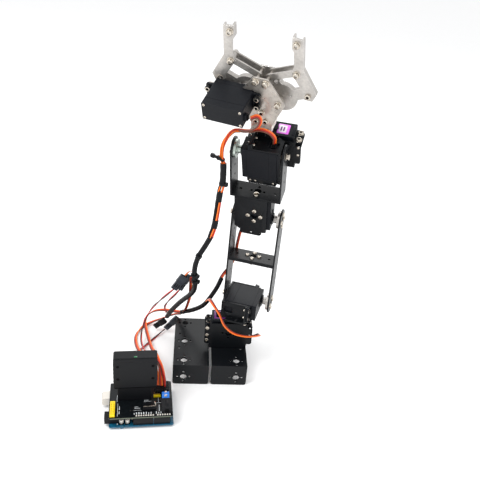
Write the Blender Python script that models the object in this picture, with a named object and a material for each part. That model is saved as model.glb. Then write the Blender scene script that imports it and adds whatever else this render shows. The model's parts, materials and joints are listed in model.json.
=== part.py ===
"""Six-servo desktop robot arm on two bent base channels, with its gripper, servo controller and wiring.

Lengths are in millimetres and become metres in the meshes. The arm is a chain of frames, one on each
joint's axis. A bracket and its servo share a servo frame: +X is the output shaft's direction with zero at
the bracket's ear plane, +Y runs along the servo's length away from the shaft, and the bracket's back wall
is on the side that its function is given.
"""

import math

import bmesh
import bpy
from mathutils import Matrix, Vector
from mathutils.geometry import interpolate_bezier

MM = 0.001
GAP = 0.3
SHEET = 2.0

# Hole group that every bracket shares: a centre hole and four screw holes on a pitch circle.
GROUP_CENTRE_R = 4.0
GROUP_SCREW_R = 1.55
GROUP_PITCH_R = 7.0

# Base channels
CHANNEL_W, CHANNEL_L, CHANNEL_H = 42.0, 90.0, 28.5
CHANNEL_HOLE_INSET = 12.5
CHANNEL_GROUP_STEP = 35.0
CHANNEL_GAP = 2.8
FLANGE_GROUP_Z = 10.5

# Servo
SERVO_L, SERVO_W = 40.7, 19.7
SHAFT_FROM_END = 10.2
SERVO_BOTTOM, SERVO_TOP = -26.7, 9.7
EAR_L, EAR_T, EAR_W = 54.0, 2.5, 18.4
EAR_HOLE_Y, EAR_HOLE_Z = 24.5, 5.0
BOSS_R, BOSS_TOP = 6.6, 11.2
SERVO_MID = SERVO_L / 2 - SHAFT_FROM_END

# Horn
HORN_R, HORN_BOTTOM, HORN_TOP = 10.0, 12.2, 18.85
HORN_HUB_R, HORN_DISC_T = 4.6, 2.6

# Multi-purpose bracket
BOX_DEPTH = 30.5
BOX_HALF_L = SERVO_L / 2 + GAP + SHEET
TAB_HALF_L = 28.5
BACK = 12.5
BACK_RISE = 5.5
BOX_OPEN = 9.6
TAB_DEPTH = 24.0
TAB_HOLE_X = (-0.9, -11.1)
BACK_GROUP_X = -8.0

# Long U bracket
U_HALF_W, U_HALF_D = 27.65, 12.5
PIVOT_TO_WEB = 53.0
U_WEB_HOLE_X = 18.85
ARM_FACE = U_HALF_W - SHEET
EAR_PLANE = ARM_FACE - 19.15

# Pose at rest, and where each axis is
WAIST_YAW = math.radians(18.5)
SHOULDER_LEAN = math.radians(3.4)
ELBOW_LEAN = math.radians(-15.7)
WRIST_LEAN = math.radians(-25.8)
GRIP_YAW = math.radians(5.7)
WRIST_TO_ROLL_Y = 2 * BACK + GAP
WRIST_TO_ROLL_Z = 2.9
ROLL_X = 1.4

# Gripper, in its own frame: X across, Y away, Z up the gripper, its middle a little right of the roll axis
GRIP_X = 0.9
GEAR_X, GEAR_Z, GEAR_R = 16.8, 61.0, 16.8
LINK_X, LINK_Z = 5.0, 82.5
ARM_REACH = Vector((26.4, 0, 11.2))
TIP_RISE = Vector((-0.9, 0, 30.4))
FINGER_LIP = 5.0
PAD_DEPTH = 6.5
GEAR_Y = -4.8
GEAR_HALF_T = 2.5
LINK_IN, LINK_OUT = 3.4, 4.9
PLATE_IN, PLATE_OUT = 5.2, 6.7
FRONT_NEAR, FRONT_FAR = -13.9, -12.4
GEAR_TEETH = 20
EAR_TO_GEAR = 17.0

# Controller, in its own frame: the main board's front left corner
BOARD_AT = Vector((-138.3, -117.4, 0))
BOARD_YAW = math.radians(5.0)
BOARD_L, BOARD_D, BOARD_T = 68.6, 53.3, 1.6
BOARD_Z, SHIELD_Z = 2.3, 14.7
PLUG_RISE = 7.8


def clear_scene():
    for obj in list(bpy.data.objects):
        bpy.data.objects.remove(obj)


# ---------------------------------------------------------------- shapes


def mesh_from(bm):
    bmesh.ops.recalc_face_normals(bm, faces=bm.faces)
    mesh = bpy.data.meshes.new("shape")
    bm.to_mesh(mesh)
    bm.free()
    return mesh


def prism(outline, low, high, axis="Z"):
    """The outline extruded from low to high along an axis. Its two coordinates are the other two axes, in order."""
    place = {
        "Z": lambda u, v, w: (u, v, w),
        "Y": lambda u, v, w: (u, w, v),
        "X": lambda u, v, w: (w, u, v),
    }[axis]
    bm = bmesh.new()
    lower = [bm.verts.new(Vector(place(u, v, low)) * MM) for u, v in outline]
    upper = [bm.verts.new(Vector(place(u, v, high)) * MM) for u, v in outline]
    bm.faces.new(lower)
    bm.faces.new(upper)
    for i in range(len(outline)):
        j = (i + 1) % len(outline)
        bm.faces.new((lower[i], lower[j], upper[j], upper[i]))
    return mesh_from(bm)


def block(low, high):
    return prism([(low[0], low[1]), (high[0], low[1]), (high[0], high[1]), (low[0], high[1])], low[2], high[2])


def arc(centre, radius, start, end, steps):
    """Points along an arc, in degrees, both ends included."""
    return [
        (
            centre[0] + radius * math.cos(math.radians(start + (end - start) * i / steps)),
            centre[1] + radius * math.sin(math.radians(start + (end - start) * i / steps)),
        )
        for i in range(steps + 1)
    ]


def circle(centre, radius, sides):
    return arc(centre, radius, 0, 360 * (sides - 1) / sides, sides - 1)


def rod(centre, radius, low, high, axis="Z", sides=12):
    return prism(circle(centre, radius, sides), low, high, axis)


def rounded(low, high, radius, steps=4):
    """A rectangle with round corners."""
    return (
        arc((high[0] - radius, high[1] - radius), radius, 0, 90, steps)
        + arc((low[0] + radius, high[1] - radius), radius, 90, 180, steps)
        + arc((low[0] + radius, low[1] + radius), radius, 180, 270, steps)
        + arc((high[0] - radius, low[1] + radius), radius, 270, 360, steps)
    )


def slot(start, end, radius, steps=8):
    """A bar with round ends."""
    angle = math.degrees(math.atan2(end[1] - start[1], end[0] - start[0]))
    return arc(start, radius, angle + 90, angle + 270, steps) + arc(end, radius, angle - 90, angle + 90, steps)


def group_holes(centre, low, high, axis, big=GROUP_CENTRE_R):
    """Cutters for one hole group."""
    holes = [rod(centre, big, low, high, axis, 12)]
    for quarter in range(4):
        angle = math.radians(90 * quarter)
        at = (centre[0] + GROUP_PITCH_R * math.cos(angle), centre[1] + GROUP_PITCH_R * math.sin(angle))
        holes.append(rod(at, GROUP_SCREW_R, low, high, axis, 6))
    return holes


def joined(meshes):
    """Separate shapes in one mesh, for a cutter."""
    bm = bmesh.new()
    for mesh in meshes:
        bm.from_mesh(mesh)
    return mesh_from(bm)


def combine(body, add=(), keep=(), cut=()):
    """The body with shapes joined on, then kept only inside others, then cut. Each entry is one mesh."""
    helpers = []
    target = bpy.data.objects.new("target", body)
    bpy.context.scene.collection.objects.link(target)
    for operation, meshes in (("UNION", add), ("INTERSECT", keep), ("DIFFERENCE", cut)):
        for mesh in meshes:
            helper = bpy.data.objects.new("cutter", mesh)
            bpy.context.scene.collection.objects.link(helper)
            helper.hide_render = True
            helper.display_type = "WIRE"
            helpers.append(helper)
            modifier = target.modifiers.new("shape", "BOOLEAN")
            modifier.operation = operation
            modifier.object = helper
    bpy.context.view_layer.update()
    graph = bpy.context.evaluated_depsgraph_get()
    result = bpy.data.meshes.new_from_object(target.evaluated_get(graph))
    for obj in (target, *helpers):
        bpy.data.objects.remove(obj)
    return result


# ---------------------------------------------------------------- materials and frames

LOOKS = {
    "black_bracket": ((0.018, 0.019, 0.022), 0.42, 0.6),
    "servo_black": ((0.014, 0.015, 0.018), 0.5, 0.0),
    "bare_aluminium": ((0.72, 0.71, 0.69), 0.32, 1.0),
    "steel": ((0.62, 0.6, 0.56), 0.25, 1.0),
    "board_blue": ((0.01, 0.09, 0.3), 0.4, 0.0),
    "shield_black": ((0.012, 0.013, 0.014), 0.35, 0.0),
    "moulded_black": ((0.012, 0.012, 0.013), 0.45, 0.0),
    "header_yellow": ((0.8, 0.6, 0.03), 0.4, 0.0),
    "terminal_blue": ((0.03, 0.2, 0.6), 0.4, 0.0),
    "lead_orange": ((0.75, 0.16, 0.03), 0.5, 0.0),
    "sleeve_black": ((0.02, 0.02, 0.02), 0.5, 0.0),
}


def look(name):
    if name in bpy.data.materials:
        return bpy.data.materials[name]
    colour, roughness, metallic = LOOKS[name]
    material = bpy.data.materials.new(name)
    material.use_nodes = True
    shader = material.node_tree.nodes["Principled BSDF"]
    shader.inputs["Base Color"].default_value = (*colour, 1)
    shader.inputs["Roughness"].default_value = roughness
    shader.inputs["Metallic"].default_value = metallic
    return material


def matrix(origin, x, y, z):
    """A frame from its origin in millimetres and its three axes."""
    rows = Matrix((x, y, z)).transposed().to_4x4()
    rows.translation = Vector(origin) * MM
    return rows


def empty(name, frame):
    obj = bpy.data.objects.new(name, None)
    obj.matrix_world = frame
    bpy.context.scene.collection.objects.link(obj)
    bpy.context.view_layer.update()
    return obj


def child(parent, name, frame):
    """An empty under another, with its place given in the parent's frame."""
    obj = empty(name, frame)
    obj.parent = parent
    return obj


def part(name, mesh, material, parent):
    mesh.name = name
    mesh.shade_smooth()
    mesh.set_sharp_from_angle(angle=math.radians(35))
    mesh.materials.clear()
    mesh.materials.append(look(material))
    obj = bpy.data.objects.new(name, mesh)
    obj.parent = parent
    bpy.context.scene.collection.objects.link(obj)
    return obj


# ---------------------------------------------------------------- the repeated pieces


def servo(number, parent, upper_ear=True):
    """A servo's case with its ears, output boss and lead gland, in a servo frame."""
    end = SERVO_L - SHAFT_FROM_END
    case = prism(rounded((-SHAFT_FROM_END, -SERVO_W / 2), (end, SERVO_W / 2), 1.2, 2), SERVO_BOTTOM, SERVO_TOP, "X")
    ear_end = SERVO_MID + EAR_L / 2 if upper_ear else end + 1.5
    ears = prism(rounded((SERVO_MID - EAR_L / 2, -EAR_W / 2), (ear_end, EAR_W / 2), 1.2, 2), GAP, GAP + EAR_T, "X")
    boss = rod((0, 0), BOSS_R, SERVO_TOP - 1, BOSS_TOP, "X", 16)
    second = rod((9.5, 0), 3.2, SERVO_TOP - 1, BOSS_TOP - 0.7, "X", 10)
    shaft = rod((0, 0), 2.9, BOSS_TOP - 1, HORN_BOTTOM - 0.1, "X", 10)
    gland = block((-24.2, -SHAFT_FROM_END - 2.6, -3.2), (-19.6, -SHAFT_FROM_END + 2.6, 3.2))
    holes = [rod((SERVO_MID + side_y * EAR_HOLE_Y, side_z * EAR_HOLE_Z), 2.1, -1, 4, "X", 8)
             for side_y in ((-1, 1) if upper_ear else (-1,)) for side_z in (-1, 1)]
    part(f"servo_{number}", combine(case, add=(ears, boss, second, shaft, gland), cut=(joined(holes),)),
         "servo_black", parent)


def horn(number, parent):
    """An aluminium disc horn on a servo's shaft, in the servo's frame."""
    disc = rod((0, 0), HORN_R, HORN_TOP - HORN_DISC_T, HORN_TOP, "X", 24)
    hub = rod((0, 0), HORN_HUB_R, HORN_BOTTOM, HORN_TOP - HORN_DISC_T + 0.5, "X", 16)
    holes = [rod((GROUP_PITCH_R * math.cos(a), GROUP_PITCH_R * math.sin(a)), 1.3, HORN_BOTTOM, 22, "X", 8)
             for a in (0, math.pi / 2, math.pi, 3 * math.pi / 2)]
    part(f"horn_{number}", combine(disc, add=(hub,), cut=(joined(holes),)), "bare_aluminium", parent)


def box_bracket(number, parent, back_side, upper_tab=True):
    """The bent box that holds a servo, open at the ear plane and on one broad side, with four tabs."""
    s = back_side
    near, far = sorted((s * (BACK - SHEET), s * BACK))
    front = -s * BOX_OPEN
    low_l, high_l = SERVO_MID - BOX_HALF_L, SERVO_MID + BOX_HALF_L
    shell = block((-BOX_DEPTH, low_l, min(front, s * BACK)), (-0.0, high_l, max(front, s * BACK)))
    tab_low = SERVO_MID - TAB_HALF_L
    tab_high = SERVO_MID + (TAB_HALF_L if upper_tab else BOX_HALF_L)
    ear = prism(rounded((tab_low, min(front, s * BACK)), (tab_high, max(front, s * BACK)), 2.5, 3), -SHEET, 0, "X")
    back = block((-BOX_DEPTH, low_l, near), (BACK_RISE, high_l, far))
    side_tab = prism(rounded((-TAB_DEPTH, tab_low), (0, tab_high), 2.5, 3), near, far, "Z")
    pocket = block((-BOX_DEPTH + SHEET, low_l + SHEET, min(-s * 30, s * (BACK - SHEET))),
                   (20, high_l - SHEET, max(-s * 30, s * (BACK - SHEET))))
    lead = block((-27.0, low_l - 2, -4.4), (-16.8, high_l + 2, 4.4))
    corner = prism([(-BOX_DEPTH - 1, low_l - 1), (-BOX_DEPTH + 7, low_l - 1), (-BOX_DEPTH - 1, low_l + 5)],
                   min(s * 9, s * 20), max(s * 9, s * 20), "Z")
    holes = group_holes((BACK_GROUP_X, SERVO_MID), min(s * 9, s * 20), max(s * 9, s * 20), "Z")
    holes += group_holes((0, 0), -BOX_DEPTH - 2, -BOX_DEPTH + SHEET + 2, "X", big=3.2)
    for side in (-1, 1) if upper_tab else (-1,):
        y = SERVO_MID + side * EAR_HOLE_Y
        holes += [rod((y, z), 1.55, -5, 5, "X", 6) for z in (-EAR_HOLE_Z, EAR_HOLE_Z)]
        y = SERVO_MID + side * (BOX_HALF_L + TAB_HALF_L) / 2
        holes += [rod((x, y), 1.55, min(s * 9, s * 20), max(s * 9, s * 20), "Z", 6) for x in TAB_HOLE_X]
    part(f"box_bracket_{number}",
         combine(shell, add=(ear, side_tab, back), cut=(pocket, lead, corner, joined(holes))),
         "black_bracket", parent)


def u_bracket(name, parent, web_low, web_high, pivot):
    """A long U bracket whose arms reach the pivot height, in a link frame with Z along the link."""
    up = pivot > web_low
    outer_web = web_low if up else web_high
    arm_end = pivot + (U_HALF_D if up else -U_HALF_D)
    low, high = sorted((outer_web, arm_end))
    w = U_HALF_W
    solid = block((-w, -U_HALF_D, low), (w, U_HALF_D, high))
    inner_low, inner_high = (web_high, high + 5) if up else (low - 5, web_low)
    inside = block((-w + SHEET, -U_HALF_D - 2, inner_low), (w - SHEET, U_HALF_D + 2, inner_high))
    if up:
        side = (arc((0, pivot), U_HALF_D, 0, 180, 10)
                + [(-U_HALF_D, low - 1), (U_HALF_D, low - 1)])
    else:
        side = (arc((0, pivot), U_HALF_D, 180, 360, 10)
                + [(U_HALF_D, high + 1), (-U_HALF_D, high + 1)])
    profile = prism(side, -w - 2, w + 2, "X")
    holes = group_holes((0, pivot), -w - 2, w + 2, "X")
    mid = (pivot + outer_web) / 2
    holes += [rod((0, mid + step), 1.55, -w - 2, w + 2, "X", 6) for step in (-6, 6)]
    web_holes = group_holes((0, 0), web_low - 2, web_high + 2, "Z")
    web_holes += [rod((sx * U_WEB_HOLE_X, 0), 1.7, web_low - 2, web_high + 2, "Z", 6) for sx in (-1, 1)]
    part(name, combine(solid, keep=(profile,), cut=(inside, joined(holes), joined(web_holes))),
         "black_bracket", parent)


def pivot_pin(number, parent):
    """The bearing screw opposite a horn, on the bracket's side: a flanged bearing and a long screw as one turned piece."""
    inner = -BOX_DEPTH + SHEET + 0.9
    gap_face = -BOX_DEPTH - GAP
    arm_inner = EAR_PLANE + ARM_FACE
    head = rod((0, 0), 2.9, -arm_inner - SHEET - 3.4, -arm_inner - SHEET - 0.4, "X", 12)
    shank = rod((0, 0), 2.0, -arm_inner - SHEET - 1, inner - 0.3, "X", 12)
    collar = rod((0, 0), 3.5, -arm_inner + 0.35, gap_face, "X", 12)
    nut = rod((0, 0), 2.9, -BOX_DEPTH + SHEET + 0.3, inner, "X", 6)
    part(f"pivot_screw_{number}", combine(head, add=(shank, collar, nut)), "steel", parent)


# ---------------------------------------------------------------- the base


def base_channel(name, parent, left, hole_x):
    """A channel open at both sides: a top with two flanges bent down."""
    half = CHANNEL_L / 2
    right = left + CHANNEL_W
    top = block((left, -half, 0), (right, half, CHANNEL_H))
    under = block((left - 2, -half + SHEET, -2), (right + 2, half - SHEET, CHANNEL_H - SHEET))
    face = prism([(left, CHANNEL_H), (left, 3)] + arc((left + 3, 3), 3, 180, 270, 3)[1:]
                 + arc((right - 3, 3), 3, 270, 360, 3) + [(right, CHANNEL_H)], -half - 2, half + 2, "Y")
    holes = []
    for step in (-1, 0, 1):
        holes += group_holes((hole_x, step * CHANNEL_GROUP_STEP), CHANNEL_H - 5, CHANNEL_H + 5, "Z")
    edge = -1 if hole_x < left + CHANNEL_W / 2 else 1
    holes += [rod((hole_x + edge * 6.2, y), 1.6, CHANNEL_H - 5, CHANNEL_H + 5, "Z", 6) for y in (-13.2, 13.2)]
    flange = group_holes((hole_x, FLANGE_GROUP_Z), -half - 3, half + 3, "Y")
    part(name, combine(top, keep=(face,), cut=(under, joined(holes), joined(flange))), "black_bracket", parent)


# ---------------------------------------------------------------- the gripper


def gripper_plate_outline():
    """A drop's outline that narrows to a tail at the bottom, in X and Z."""
    points = arc((LINK_X, LINK_Z), 4.4, 80, 20, 3) + arc((GEAR_X, GEAR_Z), 6.5, 30, -35, 4)
    points += arc((0, 34.0), 10.5, -20, -90, 4)
    return points + [(-x, z) for x, z in reversed(points[:-1])]


def gripper_frame(parent):
    """The plate that carries servo 6 and the pivots, bent back onto the horn, and the plate behind the gears."""
    servo_x = -GEAR_X
    y0, y1 = GEAR_Y + FRONT_NEAR, GEAR_Y + FRONT_FAR
    foot_low = WRIST_TO_ROLL_Z + HORN_TOP + GAP
    front = prism(gripper_plate_outline(), y0, y1, "Y")
    ear_low, ear_high = servo_x - (SERVO_MID + EAR_L / 2), servo_x + EAR_L / 2 - SERVO_MID
    ear_bar = prism(rounded((ear_low + 0.5, GEAR_Z - 14), (ear_high + 0.5, GEAR_Z + 8.8), 2, 3), y0, y1, "Y")
    tail = block((-10.5, y0, foot_low), (10.5, y1, 36))
    foot = prism([(-10.5, y0)] + arc((-GRIP_X, 0), 10.5, 180, 0, 12) + [(10.5, y0)], foot_low, foot_low + 1.6, "Z")
    pins = [rod((sx * LINK_X, LINK_Z), 1.4, y0 - 1, GEAR_Y + PLATE_IN - GAP, "Y", 10) for sx in (-1, 1)]
    pins.append(rod((GEAR_X, GEAR_Z), 1.4, y0 - 1, GEAR_Y + PLATE_IN - GAP, "Y", 10))
    heads = [rod((x, z), 2.7, y0 - 2.6, y0 + 0.5, "Y", 12)
             for x, z in ((LINK_X, LINK_Z), (-LINK_X, LINK_Z), (GEAR_X, GEAR_Z))]
    window = prism(rounded((servo_x - SERVO_L + SHAFT_FROM_END - 0.5, GEAR_Z - SERVO_W / 2 - 0.5),
                           (servo_x + SHAFT_FROM_END + 0.5, GEAR_Z + SERVO_W / 2 + 0.5), 1, 2),
                   y0 - 1, y1 + 1, "Y")
    holes = [rod((servo_x - SERVO_MID + sx * EAR_HOLE_Y, GEAR_Z + sz * EAR_HOLE_Z), 1.5, y0 - 1, y1 + 1, "Y", 8)
             for sx in (-1, 1) for sz in (-1, 1)]
    holes += [rod((x, z), 1.5, y0 - 1, y1 + 1, "Y", 8) for x, z in ((0, 47), (-5, 40), (5, 40), (0, 33))]
    foot_holes = group_holes((-GRIP_X, 0), foot_low - 2, foot_low + 4, "Z", big=3)
    part("gripper_front_plate",
         combine(front, add=(ear_bar, tail, foot, *pins, *heads),
                 cut=(window, joined(holes), joined(foot_holes))), "bare_aluminium", parent)

    b0, b1 = GEAR_Y + PLATE_IN, GEAR_Y + PLATE_OUT
    outline = (arc((LINK_X, LINK_Z), 4, 80, 20, 3) + arc((GEAR_X, GEAR_Z), 5.5, 30, -60, 5))
    outline += [(-x, z) for x, z in reversed(outline)]
    back = prism(outline, b0, b1, "Y")
    part("gripper_back_plate", back, "bare_aluminium", parent)


def gear_outline(phase, centre_angle):
    """A disc with teeth on the half that meets the other gear. Angles are in degrees."""
    root, tip = GEAR_R - 1.5, GEAR_R + 1.1
    pitch = 360 / GEAR_TEETH
    points = []
    for tooth in range(GEAR_TEETH):
        middle = tooth * pitch + phase
        away = abs((middle - centre_angle + 180) % 360 - 180)
        if away > 85:
            points += arc((0, 0), root, middle - pitch / 2, middle + pitch / 2, 3)[:-1]
            continue
        for radius, offset in ((root, -6.0), (tip, -1.7), (tip, 1.7), (root, 6.0)):
            points += arc((0, 0), radius, middle + offset, middle + offset, 1)[:1]
    return points


def gripper_side(side, name, parent):
    """One gear arm, its link pair and its finger, on side -1 (left) or 1 (right)."""
    gear_at = Vector((side * GEAR_X, 0, GEAR_Z))
    link_at = Vector((side * LINK_X, 0, LINK_Z))
    reach = Vector((side * ARM_REACH.x, 0, ARM_REACH.z))
    low, mid = gear_at + reach, link_at + reach
    flat = lambda v: (v.x, v.z)
    y = GEAR_Y

    # Teeth face the middle; the right gear is half a pitch out of step with the left.
    toward = 0 if side < 0 else 180
    phase = 0 if side < 0 else 180 + 180 / GEAR_TEETH
    disc = prism([(gear_at.x + u, gear_at.z + v) for u, v in gear_outline(phase, toward)],
                 y - GEAR_HALF_T, y + GEAR_HALF_T, "Y")
    bar = prism(slot(flat(gear_at), flat(low), 5.4), y - GEAR_HALF_T, y + GEAR_HALF_T, "Y")
    hole_r = 1.62 if side > 0 else 3.2
    cuts = [rod(flat(gear_at), hole_r, y - 5, y + 5, "Y", 14), rod(flat(low), 1.95, y - 5, y + 5, "Y", 14)]
    angle = math.radians(28)
    cuts.append(rod((gear_at.x + side * 9.4 * math.cos(angle), gear_at.z + 9.4 * math.sin(angle)), 1.9,
                    y - 5, y + 5, "Y", 12))
    part(f"gear_arm_{name}", combine(disc, add=(bar,), cut=(joined(cuts),)), "bare_aluminium", parent)

    bars = [prism(slot(flat(link_at), flat(mid), 3.3), *sorted((y + s * LINK_IN, y + s * LINK_OUT)), "Y")
            for s in (-1, 1)]
    bush = rod(flat(mid), 3.1, y - LINK_OUT + 0.5, y + LINK_OUT - 0.5, "Y", 14)
    holes = joined([rod(flat(link_at), 1.62, y - 9, y + 9, "Y", 14), rod(flat(mid), 1.95, y - 9, y + 9, "Y", 14)])
    part(f"link_{name}", combine(bars[0], add=(bush, bars[1]), cut=(holes,)), "bare_aluminium", parent)

    # Finger: a plate in front of the pivots, with a lip bent back along its outer edge and a pad at its tip.
    tip = mid + Vector((side * TIP_RISE.x, 0, TIP_RISE.z))
    outer = [(low.x + side * 8.0, low.z + 3.5), (mid.x + side * 6.3, mid.z + 6.0), (tip.x + side * 6.0, tip.z + 5.5)]
    inner = [(tip.x - side * 4.0, tip.z + 6.5), (tip.x - side * 4.0, tip.z - 5), (tip.x - side * 2.2, tip.z - 8),
             (mid.x - side * 2.6, mid.z + 8), (mid.x - side * 4.6, mid.z), (low.x - side * 5.0, low.z + 3),
             (low.x - side * 3.6, low.z - 4.6), (low.x + side * 4.4, low.z - 5)]
    plate = prism(outer + inner, y - PLATE_OUT, y - PLATE_IN, "Y")
    lip = prism(outer + [(x - side * 1.5, z) for x, z in reversed(outer)], y - PLATE_OUT, y - PLATE_OUT + FINGER_LIP, "Y")
    pad = prism([(tip.x - side * 4.0, tip.z - 5), (tip.x - side * 4.0, tip.z + 6.5), (tip.x - side * 2.4, tip.z + 6.5),
                 (tip.x - side * 2.4, tip.z - 5)], y - PLATE_OUT, y - PLATE_OUT + PAD_DEPTH, "Y")
    pins = [rod(flat(low), 1.6, y - PLATE_IN - 0.5, y + PLATE_OUT, "Y", 12),
            rod(flat(mid), 1.6, y - PLATE_IN - 0.5, y + PLATE_OUT + 1.5, "Y", 12)]
    nuts = [rod(flat(low), 2.9, y + GEAR_HALF_T + GAP, y + PLATE_OUT - 0.8, "Y", 6),
            rod(flat(mid), 2.9, y + LINK_OUT + GAP, y + PLATE_OUT + 0.8, "Y", 6)]
    heads = [rod(flat(at), 2.7, y - PLATE_OUT - proud, y - PLATE_OUT + 0.5, "Y", 12)
             for at, proud in ((low, 0.3), (mid, 2.2), (tip, 2.2))]
    part(f"finger_{name}", combine(plate, add=(lip, pad, *pins, *nuts, *heads)), "bare_aluminium", parent)


# ---------------------------------------------------------------- the controller


def controller(parent):
    """The stacked boards with their sockets and the upright receiver, in the controller's frame."""
    board_top = BOARD_Z + BOARD_T
    shield_top = SHIELD_Z + BOARD_T
    board = prism(rounded((0, 0), (BOARD_L, BOARD_D), 1.5, 2), BOARD_Z, board_top)
    feet = [rod((x, y), 2.6, 0, BOARD_Z + 0.5, sides=6)
            for x, y in ((14, 3), (BOARD_L - 4, 8), (BOARD_L - 4, 36), (15, BOARD_D - 3))]
    headers = [block((left, y - 1.25, board_top - 0.5), (BOARD_L - 4, y + 1.25, SHIELD_Z - GAP))
               for left, y in ((26, 2.6), (18, BOARD_D - 2.6))]
    part("main_board", combine(board, add=(*feet, *headers)), "board_blue", parent)
    part("driver_shield", prism(rounded((0, 0.3), (BOARD_L - 1, BOARD_D), 1.5, 2), SHIELD_Z, shield_top),
         "shield_black", parent)
    usb = prism(rounded((-8.5, 32), (9.8, 44), 0.8, 2), board_top + GAP, board_top + 9.6)
    part("usb_socket", usb, "steel", parent)
    jack = block((-4.6, 4.6, board_top + GAP), (11.6, 13.4, board_top + 9.9))
    part("dc_socket", jack, "moulded_black", parent)
    top = shield_top + GAP
    part("signal_header", block((1.2, 1.6, top), (6.4, 22, top + 3.2)), "header_yellow", parent)
    part("servo_plug_block", prism(rounded((49.5, 31.5), (64.5, 46), 0.6, 2), top, top + PLUG_RISE),
         "moulded_black", parent)
    terminal = [(20, top), (30.4, top), (30.4, top + 5.5), (28, top + 8), (22.6, top + 8), (20, top + 5.5)]
    part("screw_terminal", prism(terminal, 56.4, 64.4, "X"), "terminal_blue", parent)
    part("power_socket", block((55.4, 3.6, top), (67.2, 18.8, top + 7.6)), "moulded_black", parent)
    case = prism(rounded((5, 35), (51, 77), 2.2, 3), 24, 36, "Y")
    neck = prism(rounded((9, top), (45, 36), 1, 2), 25.2, 34.8, "Y")
    part("receiver", combine(case, add=(neck,)), "moulded_black", parent)


# ---------------------------------------------------------------- cords


def smooth_route(points, spacing):
    """Points along a smooth curve through the route's own points, a spacing apart in millimetres."""
    route = [Vector(p) for p in points]
    fine = []
    for i in range(len(route) - 1):
        before = route[max(i - 1, 0)]
        after = route[min(i + 2, len(route) - 1)]
        reach = (route[i + 1] - route[i]).length / 3
        leave = (route[i + 1] - before).normalized() * reach
        arrive = (after - route[i]).normalized() * reach
        fine += interpolate_bezier(route[i], route[i] + leave, route[i + 1] - arrive, route[i + 1], 24)[:-1]
    fine.append(route[-1])
    picked = [fine[0]]
    run = 0.0
    for a, b in zip(fine, fine[1:]):
        run += (b - a).length
        if run >= spacing:
            picked.append(b)
            run = 0.0
    if (picked[-1] - fine[-1]).length < spacing / 2:
        picked.pop()
    picked.append(fine[-1])
    return picked


def cord(name, route, diameter, material, spacing, parent):
    curve = bpy.data.curves.new(name, "CURVE")
    curve.dimensions = "3D"
    curve.bevel_depth = diameter / 2 * MM
    curve.bevel_resolution = 2
    curve.use_fill_caps = True
    spline = curve.splines.new("POLY")
    points = smooth_route(route, spacing)
    spline.points.add(len(points) - 1)
    for point, at in zip(spline.points, points):
        point.co = (*(at * MM), 1)
    obj = bpy.data.objects.new(name, curve)
    obj.parent = parent
    bpy.context.scene.collection.objects.link(obj)
    curve.materials.append(look(material))


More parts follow.
